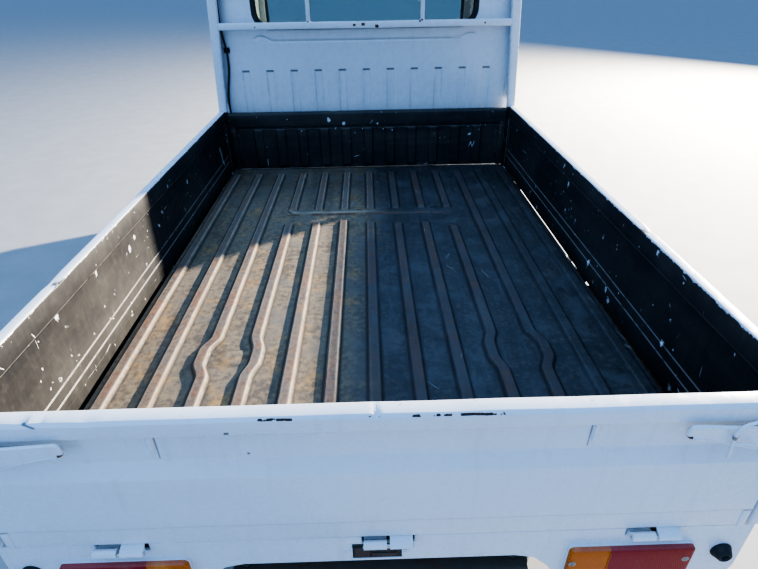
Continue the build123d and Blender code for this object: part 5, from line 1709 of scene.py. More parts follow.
# ---- doors, drawn as (y, z)
def arc_points(cy, cz, r, a0, a1, n):
    return [(cy + r * math.cos(math.radians(a0 + (a1 - a0) * k / n)), cz + r * math.sin(math.radians(a0 + (a1 - a0) * k / n))) for k in range(n + 1)]


ARCH = 333.0
a_cut = math.degrees(math.asin((475 - 270) / ARCH))
DOOR = round_outline([(625, 475), (1455, 475), (1455, 1086), (1141.5, 1635), (625, 1635)], [14, 14, 10, 44, 26], 5)
half_cut = ARCH * math.cos(math.radians(a_cut))
DOOR_CUT = []
for i, p in enumerate(DOOR):
    q = DOOR[(i + 1) % len(DOOR)]
    DOOR_CUT.append(p)
    if abs(p[1] - 475) < 0.01 and abs(q[1] - 475) < 0.01 and q[0] - p[0] > 400:
        DOOR_CUT += arc_points(987, 270, ARCH, 180 - a_cut, a_cut, 20)
DOOR_WINDOW = round_outline([(668, 1097), (1378, 1097), (1112, 1596), (668, 1596)], 24, 6)


def door_press(y, z):
    """Depth pressed inwards on the door's outer face."""
    deep = 3.2 * smooth((z - 872) / 8) * smooth((905 - z) / 16)          # groove at hand height
    deep = max(deep, 2.6 * smooth((z - 560) / 10) * smooth((586 - z) / 10))
    cup = smooth(1 - (((y - 711) / 66) ** 2 + ((z - 991) / 26) ** 2))      # cup behind the handle
    return deep + 9.0 * cup


def door(name, side):
    body = "door_" + name
    us = merged(stations(640, 1450, 30), stations(640, 782, 8))
    vs = merged(stations(480, 1640, 30), stations(866, 912, 5), stations(556, 590, 5), stations(960, 1022, 6), stations(1070, 1100, 8))

    def place(u, v, w):
        dent = 0.7 * wob(0, u, v, 260, 2.0 + side)
        x = side_x(v, -0.3) - (29.0 if w else door_press(u, v) + max(0.0, dent + 0.3))
        return (side * x, u, v)
    b = Build()
    sheet(b, DOOR_CUT, [DOOR_WINDOW], us, vs, place, step=28, gap=2.0)
    # rolled lip over the wheel
    pts = [(side * side_x(500, -2.5), y, z) for y, z in arc_points(987, 270, ARCH + 2, 180 - a_cut - 1.5, a_cut + 1.5, 26)]
    b.tube(pts, 3.0, 8)
    b.make("door_skin_" + name, M["white_clean"], body, 32, ["door_" + name])

    # window rubber, belt weatherstrip
    b = Build()
    strip(b, DOOR_WINDOW, lambda u, v, w: (side * (side_x(v) - 1.0 + w), u, v), 10, -3.0, 2.2)
    strip(b, inset_outline(DOOR_WINDOW, 9), lambda u, v, w: (side * (side_x(v) - 14.0 + w), u, v), 5, -4.0, 10.0)
    b.box(side * (side_x(1090) - 1), side * (side_x(1090) + 3.0), 664, 1384, 1083, 1097, 2, seg=3)
    # sliding channel that parts the quarter light
    rings = []
    for z in stations(1099, 1594, 60):
        y = 1262 - (z - 1099) * 0.32
        x = side_x(z) - 8
        rings.append([(side * (x - 5), y - 6, z), (side * (x + 4), y - 6, z), (side * (x + 5), y, z), (side * (x + 4), y + 6, z), (side * (x - 5), y + 6, z)])
    b.rings(rings)
    b.make("door_rubber_" + name, M["rubber"], body, 40)

    # handle: paddle over its cup, key barrel
    b = Build()
    outline = round_outline([(656, 980), (767, 980), (767, 1003), (656, 1003)], [8, 8, 8, 8], 4)
    b.plate(outline, lambda u, v, w: (side * (686.5 + w + 1.2 * math.sin(math.pi * (u - 656) / 111)), u, v), 8.2, 2.6)
    b.box(side * 680, side * 689, 660, 672, 984, 999, 2)
    b.box(side * 680, side * 689, 751, 763, 984, 999, 2)
    b.make("door_handle_" + name, M["bumper"], body, 50)
    b = Build()
    b.lathe([(-3, 0), (-3, 10.5), (1.2, 10.5), (2.2, 9.4), (1.4, 7.6), (1.4, 2.2), (0.6, 2.0), (0.6, 0)], (side * 690, 642 + 8, 955), (side, 0, 0), 24)
    # hinges at the door's front edge
    for z in (640, 980):
        b.lathe([(0, 0), (0, 6.2), (0.8, 7), (59, 7), (60, 6.2), (60, 0)], (side * 688.5, 1452.5, z - 30), (0, 0, 1), 14)
        b.lathe([(-2, 0), (-2, 3.2), (62, 3.2), (62, 0)], (side * 688.5, 1452.5, z - 30), (0, 0, 1), 10)
    b.make("door_fittings_" + name, M["steel"], body, 40)

    # inner card with armrest, winder and pull
    b = Build()
    card = round_outline([(640, 620), (1430, 620), (1430, 1060), (640, 1060)], 26, 5)
    # crowned vinyl card
    rings = []
    for ins, w in ((0, 0), (0, 2.2), (3, 4.6), (9, 6.0), (22, 6.4)):
        rings.append([(side * (661.5 - w), u, v) for u, v in inset_outline(card, ins)])
    b.rings(rings)
    b.box(side * 661, side * 622, 820, 1130, 792, 826, 12, seg=4, slot=1)
    b.box(side * 657, side * 650, 1180, 1240, 930, 962, 6, seg=3, slot=1)
    b.lathe([(0, 0), (0, 16), (5, 16), (8, 12), (8, 0)], (side * 656, 1040, 740), (-side, 0, 0), 24, slot=1)
    b.tube([(side * 646, 1040, 740), (side * 640, 1062, 722), (side * 636, 1092, 698)], 5.5, 10, slot=1)
    b.lathe([(-4, 0), (-4, 8), (6, 11), (20, 10), (25, 6), (25, 0)], (side * 637, 1092, 698), (-side, 0, 0), 20, slot=1)
    b.make("door_card_" + name, [M["vinyl"], M["trim"]], body, 40)


for name, side in SIDES:
    door(name, side)

# ---- front panel
FRONT = [(430, 1606), (620, 1636), (1000, 1636), (1085, 1573), (1090, 1570), (1700, 1208)]


def front_y(z):
    return sum(polyline_at(FRONT, z + o) for o in (-30, -20, -10, 0, 10, 20, 30)) / 7.0


LAMP_HOLES = [round_outline([(side * 392, 650), (side * 628, 650), (side * 628, 792), (side * 392, 792)], 14, 5) for side in (-1, 1)]


def front_panel():
    def edge(z):
        return CAB_HALF - CORNER + CORNER * math.pi / 2 + front_y(z) - CORNER - 1463.0
    right = [(edge(z), z) for z in (430, 500, 560, 620, 700, 800, 900, 960, 1000, 1040, 1083)]
    outline = right + [(566, 1083), (566, 1101)] + [(-566, 1101), (-566, 1083)] + [(-u, z) for u, z in reversed(right)]
    us = merged(stations(-835, 835, 32), stations(642, 718, 9), stations(-718, -642, 9), stations(-388, 388, 24))
    vs = merged(stations(440, 1100, 30), stations(600, 640, 8), stations(970, 1100, 10), stations(806, 850, 6), stations(676, 770, 8))

    def press(u, z):
        a = abs(u)
        deep = 4.5 * smooth((z - 812) / 10) * smooth((846 - z) / 12) * (1 - smooth((a - 600) / 30))
        deep = max(deep, 6.0 * smooth((z - 680) / 8) * smooth((762 - z) / 8) * (1 - smooth((a - 356) / 10)))
        return deep

    def place(u, v, w):
        x, d, t = corner(u, CAB_HALF)
        s = 1 if u >= 0 else -1
        dent = 0.6 * wob(u, 0, v, 240, 5.0)
        back = 26.0 * w + (0 if w else press(u, v) + max(0.0, dent + 0.2))
        return (x - s * math.sin(t) * back, front_y(v) - d - math.cos(t) * back, v)
    b = Build()
    sheet(b, outline, LAMP_HOLES, us, vs, place, step=28, gap=2.2)
    return b.make("front_panel_skin", M["white_clean"], "chassis", 32, ["cab_front_panel"])


front_panel()

# slotted black grille in the sunk middle of the front
b = Build()
grille = round_outline([(-350, 686), (350, 686), (350, 756), (-350, 756)], 12, 4)
b.rings([[(u, 1628.6, v) for u, v in grille], [(u, 1633.6, v) for u, v in grille], [(u, 1634.8, v) for u, v in inset_outline(grille, 1.4)],
         [(u, 1634.8, v) for u, v in inset_outline(grille, 6)], [(u, 1631.0, v) for u, v in inset_outline(grille, 6.6)], [(u, 1628.6, v) for u, v in inset_outline(grille, 6.6)]], loop=True)
for k in range(5):
    z = 697 + 11.6 * k
    b.box(-343, 343, 1628.6, 1634.2, z - 2.6, z + 2.6, 1.4)
for x in stations(-300, 300, 100):
    b.box(x - 2.5, x + 2.5, 1628.6, 1633.0, 690, 752, 1)
b.box(-346, 346, 1627.6, 1629.2, 689, 753, 0.5)
b.make("front_grille", M["bumper"], "chassis", 40)

# head lamps and turn lamps: crowned glass in a dark bowl
b = Build()
for name, side in SIDES:
    for x0, x1, y0, slot in ((394, 556, 1641.5, 0), (562, 626, 1637.5, 1)):
        o = round_outline([(side * x0, 652), (side * x1, 652), (side * x1, 790), (side * x0, 790)], 12, 5)
        cx = side * (x0 + x1) / 2
        rings = [[(u, y0 - 23, v) for u, v in o], [(u, y0 - 9, v) for u, v in o], [(u, y0 - 5.0, v) for u, v in inset_outline(o, 1.4)],
                 [(u, y0 - 2.6, v) for u, v in inset_outline(o, 5)]]
        for f, w in ((0.70, 1.2), (0.40, 0.35), (0.12, 0.0)):
            rings.append([(cx + (u - cx) * f, y0 - w, 721 + (v - 721) * f) for u, v in o])
        b.rings(rings, slot=slot)
b.make("front_lamp_glass", [M["clear"], M["amber"]], "chassis", 50, ["front_lamps"])
b = Build()
for name, side in SIDES:
    o = round_outline([(side * 390, 648), (side * 630, 648), (side * 630, 794), (side * 390, 794)], 15, 5)
    b.rings([[(u, 1626, v) for u, v in o], [(u, 1637.0, v) for u, v in o], [(u, 1638.4, v) for u, v in inset_outline(o, 1.6)],
             [(u, 1637.6, v) for u, v in inset_outline(o, 5.0)], [(u, 1620, v) for u, v in inset_outline(o, 5.4)]], loop=True)
    b.box(side * 557, side * 561, 1618, 1637, 652, 790, 1)
b.make("lamp_bezels", M["bumper"], "chassis", 50)


# ---- windscreen rubber, wipers and cowl
def on_screen(u, v, w):
    """A point w mm out from the raked plane of the windscreen."""
    k = math.hypot(1, RAKE)
    return (u, 1570 - RAKE * (v - 1090) + w / k, v + w * RAKE / k)


SCREEN = round_outline([(-622, 1104), (622, 1104), (572, 1656), (-572, 1656)], 38, 8)
b = Build()
strip(b, SCREEN, lambda u, v, w: on_screen(u, v, w - 1.5), 11, -4.0, 3.4)
strip(b, inset_outline(SCREEN, 11), lambda u, v, w: on_screen(u, v, w - 10), 6, -4.0, 5.0)
b.make("windscreen_rubber", M["rubber"], "chassis", 50)

b = Build()
for x0, x1 in ((-395, 20), (60, 470)):
    a = on_screen(x0, 1112, 6)
    b.lathe([(-8, 0), (-8, 13), (6, 12), (12, 8), (12, 0)], on_screen(x0, 1090, 2), (0, 0.86, 0.51), 20)
    elbow = on_screen(x0 + 50, 1128, 14)
    tip = on_screen((x0 + x1) / 2 + 40, 1180, 9)
    b.tube([on_screen(x0, 1090, 12), on_screen(x0 + 18, 1102, 15), elbow, tip], lambda t: 5.0 - 2.2 * t, 8)
    # blade with its bridge, seen along the glass
    for off, r, w in ((0, 2.0, 0.8), (4, 2.6, 6.0)):
        b.tube([on_screen(x0 + 30 + 36 * k, 1124 + 8.0 * k, w - 6) for k in range(11)], r, 8)
    for k in (2, 5, 8):
        b.box(0, 1, 0, 1, 0, 1, 0.1, turn=lambda x, y, z, k=k, x0=x0: tuple(on_screen(x0 + 26 + 36 * k + 8 * x, 1122 + 8.0 * k + 8 * z, -5 + 9 * y)))
b.make("wipers", M["bumper"], "chassis", 40)
b = Build()
for x in stations(-430, 430, 20):
    b.box(x - 7, x + 7, 1578, 1586, 1062, 1078, 1.5, turn=lambda px, py, pz: (px, front_y(pz) - 1.8 + (py - 1578) * 0.2, pz))
b.make("cowl_slots", M["bumper"], "chassis", 40)

# ---- door mirrors: shell, rim, glass and bent stay
for name, side in SIDES:
    body = "door_" + name
    b = Build()

    def bowl(x, y, z):
        t = (y - 1392) / 40.0
        k = 1 - 0.16 * t * t
        return (side * (777.5 + (x - 777.5) * k), y, 1255 + (z - 1255) * k)
    b.box(725.5, 829.5, 1392.5, 1431.5, 1165.5, 1344.5, 17, seg=5, turn=bowl)
    b.tube([(side * 684, 1407, 1086), (side * 700, 1407, 1088), (side * 716, 1407, 1104), (side * 738, 1407, 1142), (side * 752, 1407, 1176)], 7.5, 12)
    b.box(side * 686, side * 697, 1394.5, 1419.5, 1072, 1108, 4, seg=3)
    b.lathe([(0, 0), (0, 11), (3, 12.5), (12, 12.5), (15, 9), (15, 0)], (side * 751, 1407, 1162), (side * 0.35, 0, 0.93), 20)
    b.make("mirror_shell_" + name, M["bumper"], body, 44, ["mirror_" + name])
    b = Build()
    o = round_outline([(side * 732, 1172), (side * 823, 1172), (side * 823, 1338), (side * 732, 1338)], 13, 5)
    rings = [[(u, 1394, v) for u, v in o], [(u, 1392.3, v) for u, v in inset_outline(o, 0.8)]]
    for f in (0.7, 0.3):
        rings.append([(side * 777.5 + (u - side * 777.5) * f, 1392.3 - 0.1 * (1 - f), 1255 + (v - 1255) * f) for u, v in o])
    b.rings(rings)
    b.make("mirror_glass_" + name, M["mirror"], body, 44)

# ================================================================= inside
def pad_mesh(name, size, power, dome, voxel, cap, pressure=4.0):
    """A crowned pad, in mm round its own middle, puffed up by a short cloth run."""
    w, d, h = size
    bm = bmesh.new()
    bmesh.ops.create_cube(bm, size=2.0)
    bmesh.ops.subdivide_edges(bm, edges=bm.edges, cuts=15, use_grid_fill=True)
    for v in bm.verts:
        x, y, z = v.co
        # rounded box: pull the cube's corners in towards a super-ellipsoid
        k = (abs(x) ** power + abs(y) ** power + abs(z) ** power) ** (1.0 / power)
        x, y, z = x / k, y / k, z / k
        crown = 1 + dome * (1 - x * x) * (1 - y * y)
        v.co = (x * w / 2 * (1 - 0.03 * (1 - y * y) * abs(x)), y * d / 2, z * h / 2 * (crown if z > 0 else 1.0))
    me = bpy.data.meshes.new(name)
    bm.to_mesh(me)
    bm.free()
    me.transform(Matrix.Scale(0.001, 4))
    ob = bpy.data.objects.new(name, me)
    bpy.context.scene.collection.objects.link(ob)
    mod = ob.modifiers.new("remesh", "REMESH")
    mod.mode = "VOXEL"
    mod.voxel_size = voxel * 0.001
    deps = bpy.context.evaluated_depsgraph_get()
    solid = bpy.data.meshes.new_from_object(ob.evaluated_get(deps))
    ob.modifiers.clear()
    ob.data = solid
    start = [v.co.copy() for v in solid.vertices]
    cloth = ob.modifiers.new("cloth", "CLOTH")
    s = cloth.settings
    s.quality = 5
    s.mass = 0.3
    s.tension_stiffness = 18
    s.compression_stiffness = 18
    s.shear_stiffness = 6
    s.bending_stiffness = 0.6
    s.use_pressure = True
    s.uniform_pressure_force = pressure
    s.effector_weights.gravity = 0
    cloth.collision_settings.use_collision = False
    cloth.point_cache.frame_start = 1
    cloth.point_cache.frame_end = 20
    scn = bpy.context.scene
    for f in range(1, 21):
        scn.frame_set(f)
    deps = bpy.context.evaluated_depsgraph_get()
    soft = bpy.data.meshes.new_from_object(ob.evaluated_get(deps))
    moved = [v.co.copy() for v in soft.vertices]
    ob.modifiers.clear()
    scn.frame_set(1)
    if len(moved) == len(start):
        for v, a, c in zip(solid.vertices, start, moved):
            step = c - a
            if step.length > cap * 0.001:
                step = step.normalized() * cap * 0.001
            v.co = a + step
    bm = bmesh.new()
    bm.from_mesh(solid)
    for _ in range(2):
        bmesh.ops.smooth_vert(bm, verts=bm.verts, factor=0.5, use_axis_x=True, use_axis_y=True, use_axis_z=True)
    bmesh.ops.subdivide_edges(bm, edges=bm.edges, cuts=1, use_grid_fill=True)
    bmesh.ops.smooth_vert(bm, verts=bm.verts, factor=0.5, use_axis_x=True, use_axis_y=True, use_axis_z=True)
    bm.normal_update()
    data = [(v.co * 1000.0, v.normal.copy()) for v in bm.verts]
    faces = [[v.index for v in f.verts] for f in bm.faces]
    bm.free()
    bpy.data.objects.remove(ob)
    return data, faces


def sew(data, lines, depth=6.0, width=6.0):
    """Presses sewn channels into the top of a pad; lines give distance in mm."""
    out = []
    for p, n in data:
        if n.z > 0.15:
            k = max(math.exp(-(line(p.x, p.y) / width) ** 2) for line in lines)
            p = p - n * depth * k * smooth((n.z - 0.15) / 0.4)
        out.append(p)
    return out


def welt(points, faces, outline, height):
    """Piping along the pad's upper edge, laid on its surface."""
    tree = BVHTree.FromPolygons(points, faces)
    path = []
    for u, v in outline:
        hit, nrm, _, _ = tree.find_nearest(Vector((u, v, height)))
        path.append(hit + nrm * 1.2)
    return path


def seat_piece(name, size, power, dome, place, insert, lines, welt_in):
    data, faces = pad_mesh(name, size, power, dome, 9.0, 9.0)
    pts = sew(data, lines)
    w, d, h = size
    edge = round_outline([(-w / 2 + welt_in, -d / 2 + welt_in), (w / 2 - welt_in, -d / 2 + welt_in),
                          (w / 2 - welt_in, d / 2 - welt_in), (-w / 2 + welt_in, d / 2 - welt_in)], 42, 8)
    edge = dense_outline(edge, 24)
    piping = welt(pts, faces, edge, h * 0.42)
    for side_name, side in SIDES:
        b = Build()
        kinds = []
        for f in faces:
            c = sum((pts[i] for i in f), Vector()) / len(f)
            kinds.append(1 if abs(c.x) < insert[0] and abs(c.y) < insert[1] and c.z > h * 0.20 else 0)
        verts = [place(side, p) for p in pts]
        order = [f if side > 0 else list(reversed(f)) for f in faces]
        b.add(verts, order)
        b.k[-len(faces):] = kinds
        b.tube([place(side, p) for p in piping], 3.4, 8, loop=True)
        ob = b.make(name + "_" + side_name, [M["vinyl"], M["weave"]], "chassis", 60)


SEAT_X = 327.0


def cushion_place(side, p):
    y, z = p.y, p.z
    # front edge rolls down, rear is a little lower
    return (side * (SEAT_X + p.x), 905 + y, 704 + z + 0.030 * y)


def back_place(side, p):
    # local y runs up the back, local z points forward
    lean = math.radians(13.0)
    up, out = p.y, p.z
    return (side * (SEAT_X + p.x * (1 - 0.00022 * (up + 255))), 602 - up * math.sin(lean) - 34 + out * math.cos(lean),
            1006 + up * math.cos(lean) + out * math.sin(lean))


seat_piece("seat_cushion", (512, 432, 92), 7.0, 0.16, cushion_place, (176, 186),
           [lambda x, y: abs(abs(x) - 178), lambda x, y: abs(y - 190) if abs(x) < 180 else 99, lambda x, y: abs(x - 60) if abs(y) < 190 else 99,
            lambda x, y: abs(x + 60) if abs(y) < 190 else 99], 20)
seat_piece("seat_back", (500, 520, 70), 7.0, 0.20, back_place, (168, 224),
           [lambda x, y: abs(abs(x) - 170), lambda x, y: abs(y - 226) if abs(x) < 172 else 99, lambda x, y: abs(x - 58) if abs(y) < 226 else 99,
            lambda x, y: abs(x + 58) if abs(y) < 226 else 99], 18)
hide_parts("seats")

# seat plinths, runners and the recliner's knuckles
b = Build()
for name, side in SIDES:
    b.box(side * 78, side * 576, 700, 1118, 643, 668, 8, seg=3)
    for x in (110, 540):
        b.box(side * (x - 14), side * (x + 14), 690, 1126, 641, 652, 3, slot=1)
    for x in (68, 586):
        b.lathe([(-4, 0), (-4, 24), (0, 27), (5, 25), (7, 18), (7, 0)], (side * x, 684, 742), (1, 0, 0), 28, slot=1)
        b.box(side * (x - 3), side * (x + 3), 672, 700, 668, 745, 2, slot=1)
b.make("seat_plinths", [M["trim"], M["frame"]], "chassis", 40)

# ---- steering wheel: grooved rim, three spokes, pad, column with stalks
WC = Vector((335.0, 1235.0, 1035.0))
WN = Vector((0, -0.45, 0.893)).normalized()
WX = Vector((1, 0, 0))
WY = WN.cross(WX)
b = Build()
rings = []
for k in range(96):
    a = 2 * math.pi * k / 96
    d = WX * math.cos(a) + WY * math.sin(a)
    c = WC + d * 178
    rings.append([c + d * (11.0 * math.cos(t)) + WN * (12.4 * math.sin(t)) + d * (-(0.9 if k % 4 == 0 else 0.0) * (math.cos(t) < 0))
                  for t in [2 * math.pi * q / 14 for q in range(14)]])
b.rings(rings, loop=True)
for ang in (90, 210, 330):
    a = math.radians(ang)
    d = WX * math.cos(a) + WY * math.sin(a)
    e = WN.cross(d)
    rings = []
    for r, half, low, high in ((30, 26, -12, 6), (60, 20, -12, 4), (110, 15.5, -11, 3), (150, 15, -9, 3), (172, 16, -7, 4)):
        sec = round_outline([(-half, low), (half, low), (half, high), (-half, high)], 5, 3)
        rings.append([WC + d * r + e * u + WN * v for u, v in sec])
    b.rings(rings)
b.lathe([(-14, 0), (-14, 40), (-6, 47), (4, 46), (9, 38), (11, 20), (11, 0)], WC, WN, 40)
b.lathe([(10.6, 0), (10.6, 15), (11.6, 14), (12.0, 0)], WC, WN, 28)
b.lathe([(-700, 0), (-700, 19), (-330, 19), (-328, 25), (-60, 25), (-58, 36), (-14, 38), (-14, 0)], WC, WN, 28)


def shroud(x, y, z):
    return tuple(WC + WX * x + WY * y + WN * z)


b.box(-44, 44, -40, 36, -190, -22, 16, seg=4, turn=shroud)
for s in (-1, 1):
    b.tube([shroud(s * 40, -6, -72), shroud(s * 92, -2, -66), shroud(s * 138, 2, -60)], lambda t: 5.0 + 2.4 * t, 10)
b.make("steering_wheel_skin", M["trim"], "chassis", 44, ["steering_wheel"])

# ---- dashboard: rolled top, hood, dials, vents, glove box, radio
b = Build()
sec = round_outline([(1372, 880), (1362, 960), (1410, 1046), (1510, 1062), (1548, 1040), (1600, 976), (1600, 870)], [12, 22, 26, 14, 10, 6, 4], 5)
b.prism(sec, lambda u, v, s: (s, u, v), merged(stations(-640, 640, 40), [-637, 637]))


def tilt(x, y, z):
    """Leans a fitting with the dashboard's upper face."""
    return (x, y + (z - 960) * 0.50, z)


b.box(200, 470, 1366, 1420, 1000, 1068, 14, seg=4, turn=tilt)
b.box(-560, -250, 1355.5, 1366, 884, 952, 5, seg=3, turn=lambda x, y, z: (x, y + (960 - z) * 0.125, z))
b.box(-430, -380, 1353.5, 1358, 936, 946, 2, slot=2)
for x0 in (-600, -130, 60, 520):
    b.box(x0, x0 + 82, 1368, 1388, 972, 1004, 5, seg=3, turn=tilt)
    for k in range(4):
        b.box(x0 + 5, x0 + 77, 1365.8, 1369, 976 + 7 * k, 979 + 7 * k, 0.6, slot=1, turn=tilt)
b.box(-112, 74, 1356.5, 1368, 898, 944, 3, seg=3, slot=1, turn=lambda x, y, z: (x, y + (960 - z) * 0.125, z))
for x in (-92, 54):
    b.lathe([(0, 0), (0, 9), (9, 8), (10, 6), (10, 0)], (x, 1361, 921), (0, -1, 0), 20, slot=1)
for k in range(5):
    b.box(-66 + 24 * k, -46 + 24 * k, 1353.5, 1358, 904, 913, 1.4, slot=2)
for x in (-80, -19, 42):
    b.lathe([(0, 0), (0, 14), (7, 12.5), (8, 9), (8, 0)], (x, 1369, 892), (0, -1, 0), 24, slot=1)
b.make("dashboard_skin", [M["trim"], M["bumper"], M["steel"]], "chassis", 40, ["dashboard"])
b = Build()
for x, r in ((290, 30), (382, 30), (336, 13)):
    b.lathe([(0, 0), (0, r), (2.5, r), (3.6, r - 1.5), (2.2, r - 3), (1.6, 0)], (x, 1386, 1036 if r > 20 else 1022), (0, -0.894, 0.447), 36)
    n = Vector((0, -0.894, 0.447))
    e = Vector((0, 0.447, 0.894))
    c = Vector((x, 1386, 1036 if r > 20 else 1022)) + n * 2.0
    if r > 20:
        for k in range(11):
            a = math.radians(225 - 27 * k)
            d = Vector((math.cos(a), 0, 0)) + e * math.sin(a)
            b.tube([c + d * (r - 9), c + d * (r - 4.5)], 0.7, 6, slot=1)
        a = math.radians(215)
        d = Vector((math.cos(a), 0, 0)) + e * math.sin(a)
        b.tube([c - d * 4, c + d * (r - 8)], 0.9, 6, slot=2)
b.make("dials", [M["bumper"], M["white_clean"], M["amber"]], "chassis", 44)

# ---- pedals, levers, mirror, visors, floor mats
b = Build()
for x, w, z in ((240, 30, 520), (335, 32, 520), (432, 24, 500)):
    b.tube([(x, 1560, 880), (x, 1540, 760), (x, 1500, 640), (x, 1486, z + 30)], 6, 8, slot=1)
    b.box(x - w, x + w, 1470, 1478, z - 24, z + 34, 3, seg=3, turn=lambda px, py, pz, z=z: (px, py + (pz - z) * 0.42, pz))
    for k in range(5):
        b.box(x - w + 4, x + w - 4, 1467.5, 1471, z - 18 + 10 * k, z - 14 + 10 * k, 0.8,
              turn=lambda px, py, pz, z=z: (px, py + (pz - z) * 0.42, pz))
b.tube([(0, 1160, 640), (0, 1166, 740), (4, 1150, 830), (10, 1128, 905)], lambda t: 8 - 2.5 * t, 10, slot=1)
b.lathe([(-16, 0), (-16, 12), (-6, 19), (6, 21), (16, 17), (20, 9), (20.5, 0)], (11, 1126, 918), (0.1, -0.3, 0.95), 24)
rings = []
for z, r in ((640, 52), (648, 50), (652, 40), (662, 42), (666, 32), (676, 34), (680, 24), (692, 24), (700, 14), (716, 10)):
    rings.append([(r * math.cos(2 * math.pi * k / 28), 1160 + r * math.sin(2 * math.pi * k / 28), z) for k in range(28)])
b.rings(rings)
b.box(-14, 14, 760, 800, 640, 690, 5, seg=3)
b.tube([(0, 770, 672), (0, 860, 708), (0, 990, 742)], 9.5, 12, slot=1)
b.tube([(0, 900, 719), (0, 960, 735), (0, 1000, 745)], lambda t: 13.5 - 1.0 * t, 14)
b.lathe([(-3, 0), (-3, 8), (8, 7), (10, 4), (10, 0)], (0, 1003, 745.5), (0, 0.97, 0.24), 16, slot=1)
b.make("pedals_levers", [M["mat"], M["frame"]], "chassis", 44)
b = Build()
b.box(-112, 112, 1196, 1214, 1556, 1612, 8, seg=4)
b.tube([(0, 1212, 1590), (0, 1228, 1612), (0, 1236, 1640)], 6, 10)
b.box(-105, 105, 1194.8, 1197, 1561, 1607, 1, slot=1)
for name, side in SIDES:
    b.box(side * 150, side * 510, 1090, 1216, 1661, 1676, 6, seg=3, slot=2, turn=lambda x, y, z: (x, y, z + (1216 - y) * 0.16))
    b.tube([(side * 150, 1212, 1668), (side * 120, 1214, 1668), (side * 112, 1216, 1674)], 4, 8)
b.make("cab_mirror_visors", [M["trim"], M["mirror"], M["vinyl"]], "chassis", 44)
b = Build()
for name, side in SIDES:
    o = round_outline([(side * 60, 1302), (side * 600, 1302), (side * 600, 1560), (side * 60, 1560)], 30, 5)
    b.rings([[(u, v, 426.4) for u, v in o], [(u, v, 432) for u, v in o], [(u, v, 434.4) for u, v in inset_outline(o, 2.4)],
             [(u, v, 434.4) for u, v in inset_outline(o, 9)], [(u, v, 431.6) for u, v in inset_outline(o, 12)]])
    for k in range(9):
        y = 1330 + 25 * k
        b.box(side * 90, side * 570, y - 4, y + 4, 430.8, 433.6, 1.4)
b.make("floor_mats", M["mat"], "chassis", 44)

# =================================================== wheels and underbody
def tyre(axle, axle_y, name, side):
    """Road tyre: ribs with cross cuts, shoulder lugs, sidewall rings."""
    n = 192
    half = [(0, 262.5), (3.6, 262.5), (4.4, 269.6), (17, 269.9), (18, 263), (22.5, 263), (23.5, 269.7), (40, 269.2), (47, 268.4), (54, 265.5), (59, 261),
            (63, 255), (67.2, 246.5), (70.2, 236), (71.8, 224), (72.2, 212), (71.6, 208.5), (71.2, 206), (70.8, 199), (69.0, 190), (66.5, 180), (66.8, 177.5),
            (63, 172), (58.6, 167.2), (57.8, 163), (57.4, 152)]
    section = [(-d, r) for d, r in reversed(half[1:])] + half
    rings = []
    for k in range(n):
        a = 2 * math.pi * k / n
        ring = []
        for d, r in section:
            ad = abs(d)
            # sideways shift of the cuts from centre to shoulder gives slanted blocks
            phase = (k + (2 if d > 0 else 0) + int(ad / 12)) % 6
            if 24 <= ad <= 60 and phase in (0,):
                r -= 5.0 if ad < 50 else 3.2
            if 5 < ad < 18 and (k + (0 if d > 0 else 4)) % 8 == 0:
                r -= 3.0
            ring.append((side * (WHEEL_X + d), axle_y + r * math.cos(a), WHEEL_R + r * math.sin(a)))
        rings.append(ring)
    b = Build()
    verts = [p for r in rings for p in r]
    m = len(section)
    faces = []
    for i in range(n):
        j = (i + 1) % n
        for q in range(m):
            w = (q + 1) % m
            faces.append((i * m + q, i * m + w, j * m + w, j * m + q))
    b.add(verts, faces)
    return b.make("tyre_skin_%s_%s" % (axle, name), M["tyre"], "wheel_%s_%s" % (axle, name), 30, ["tyre_%s_%s" % (axle, name)])


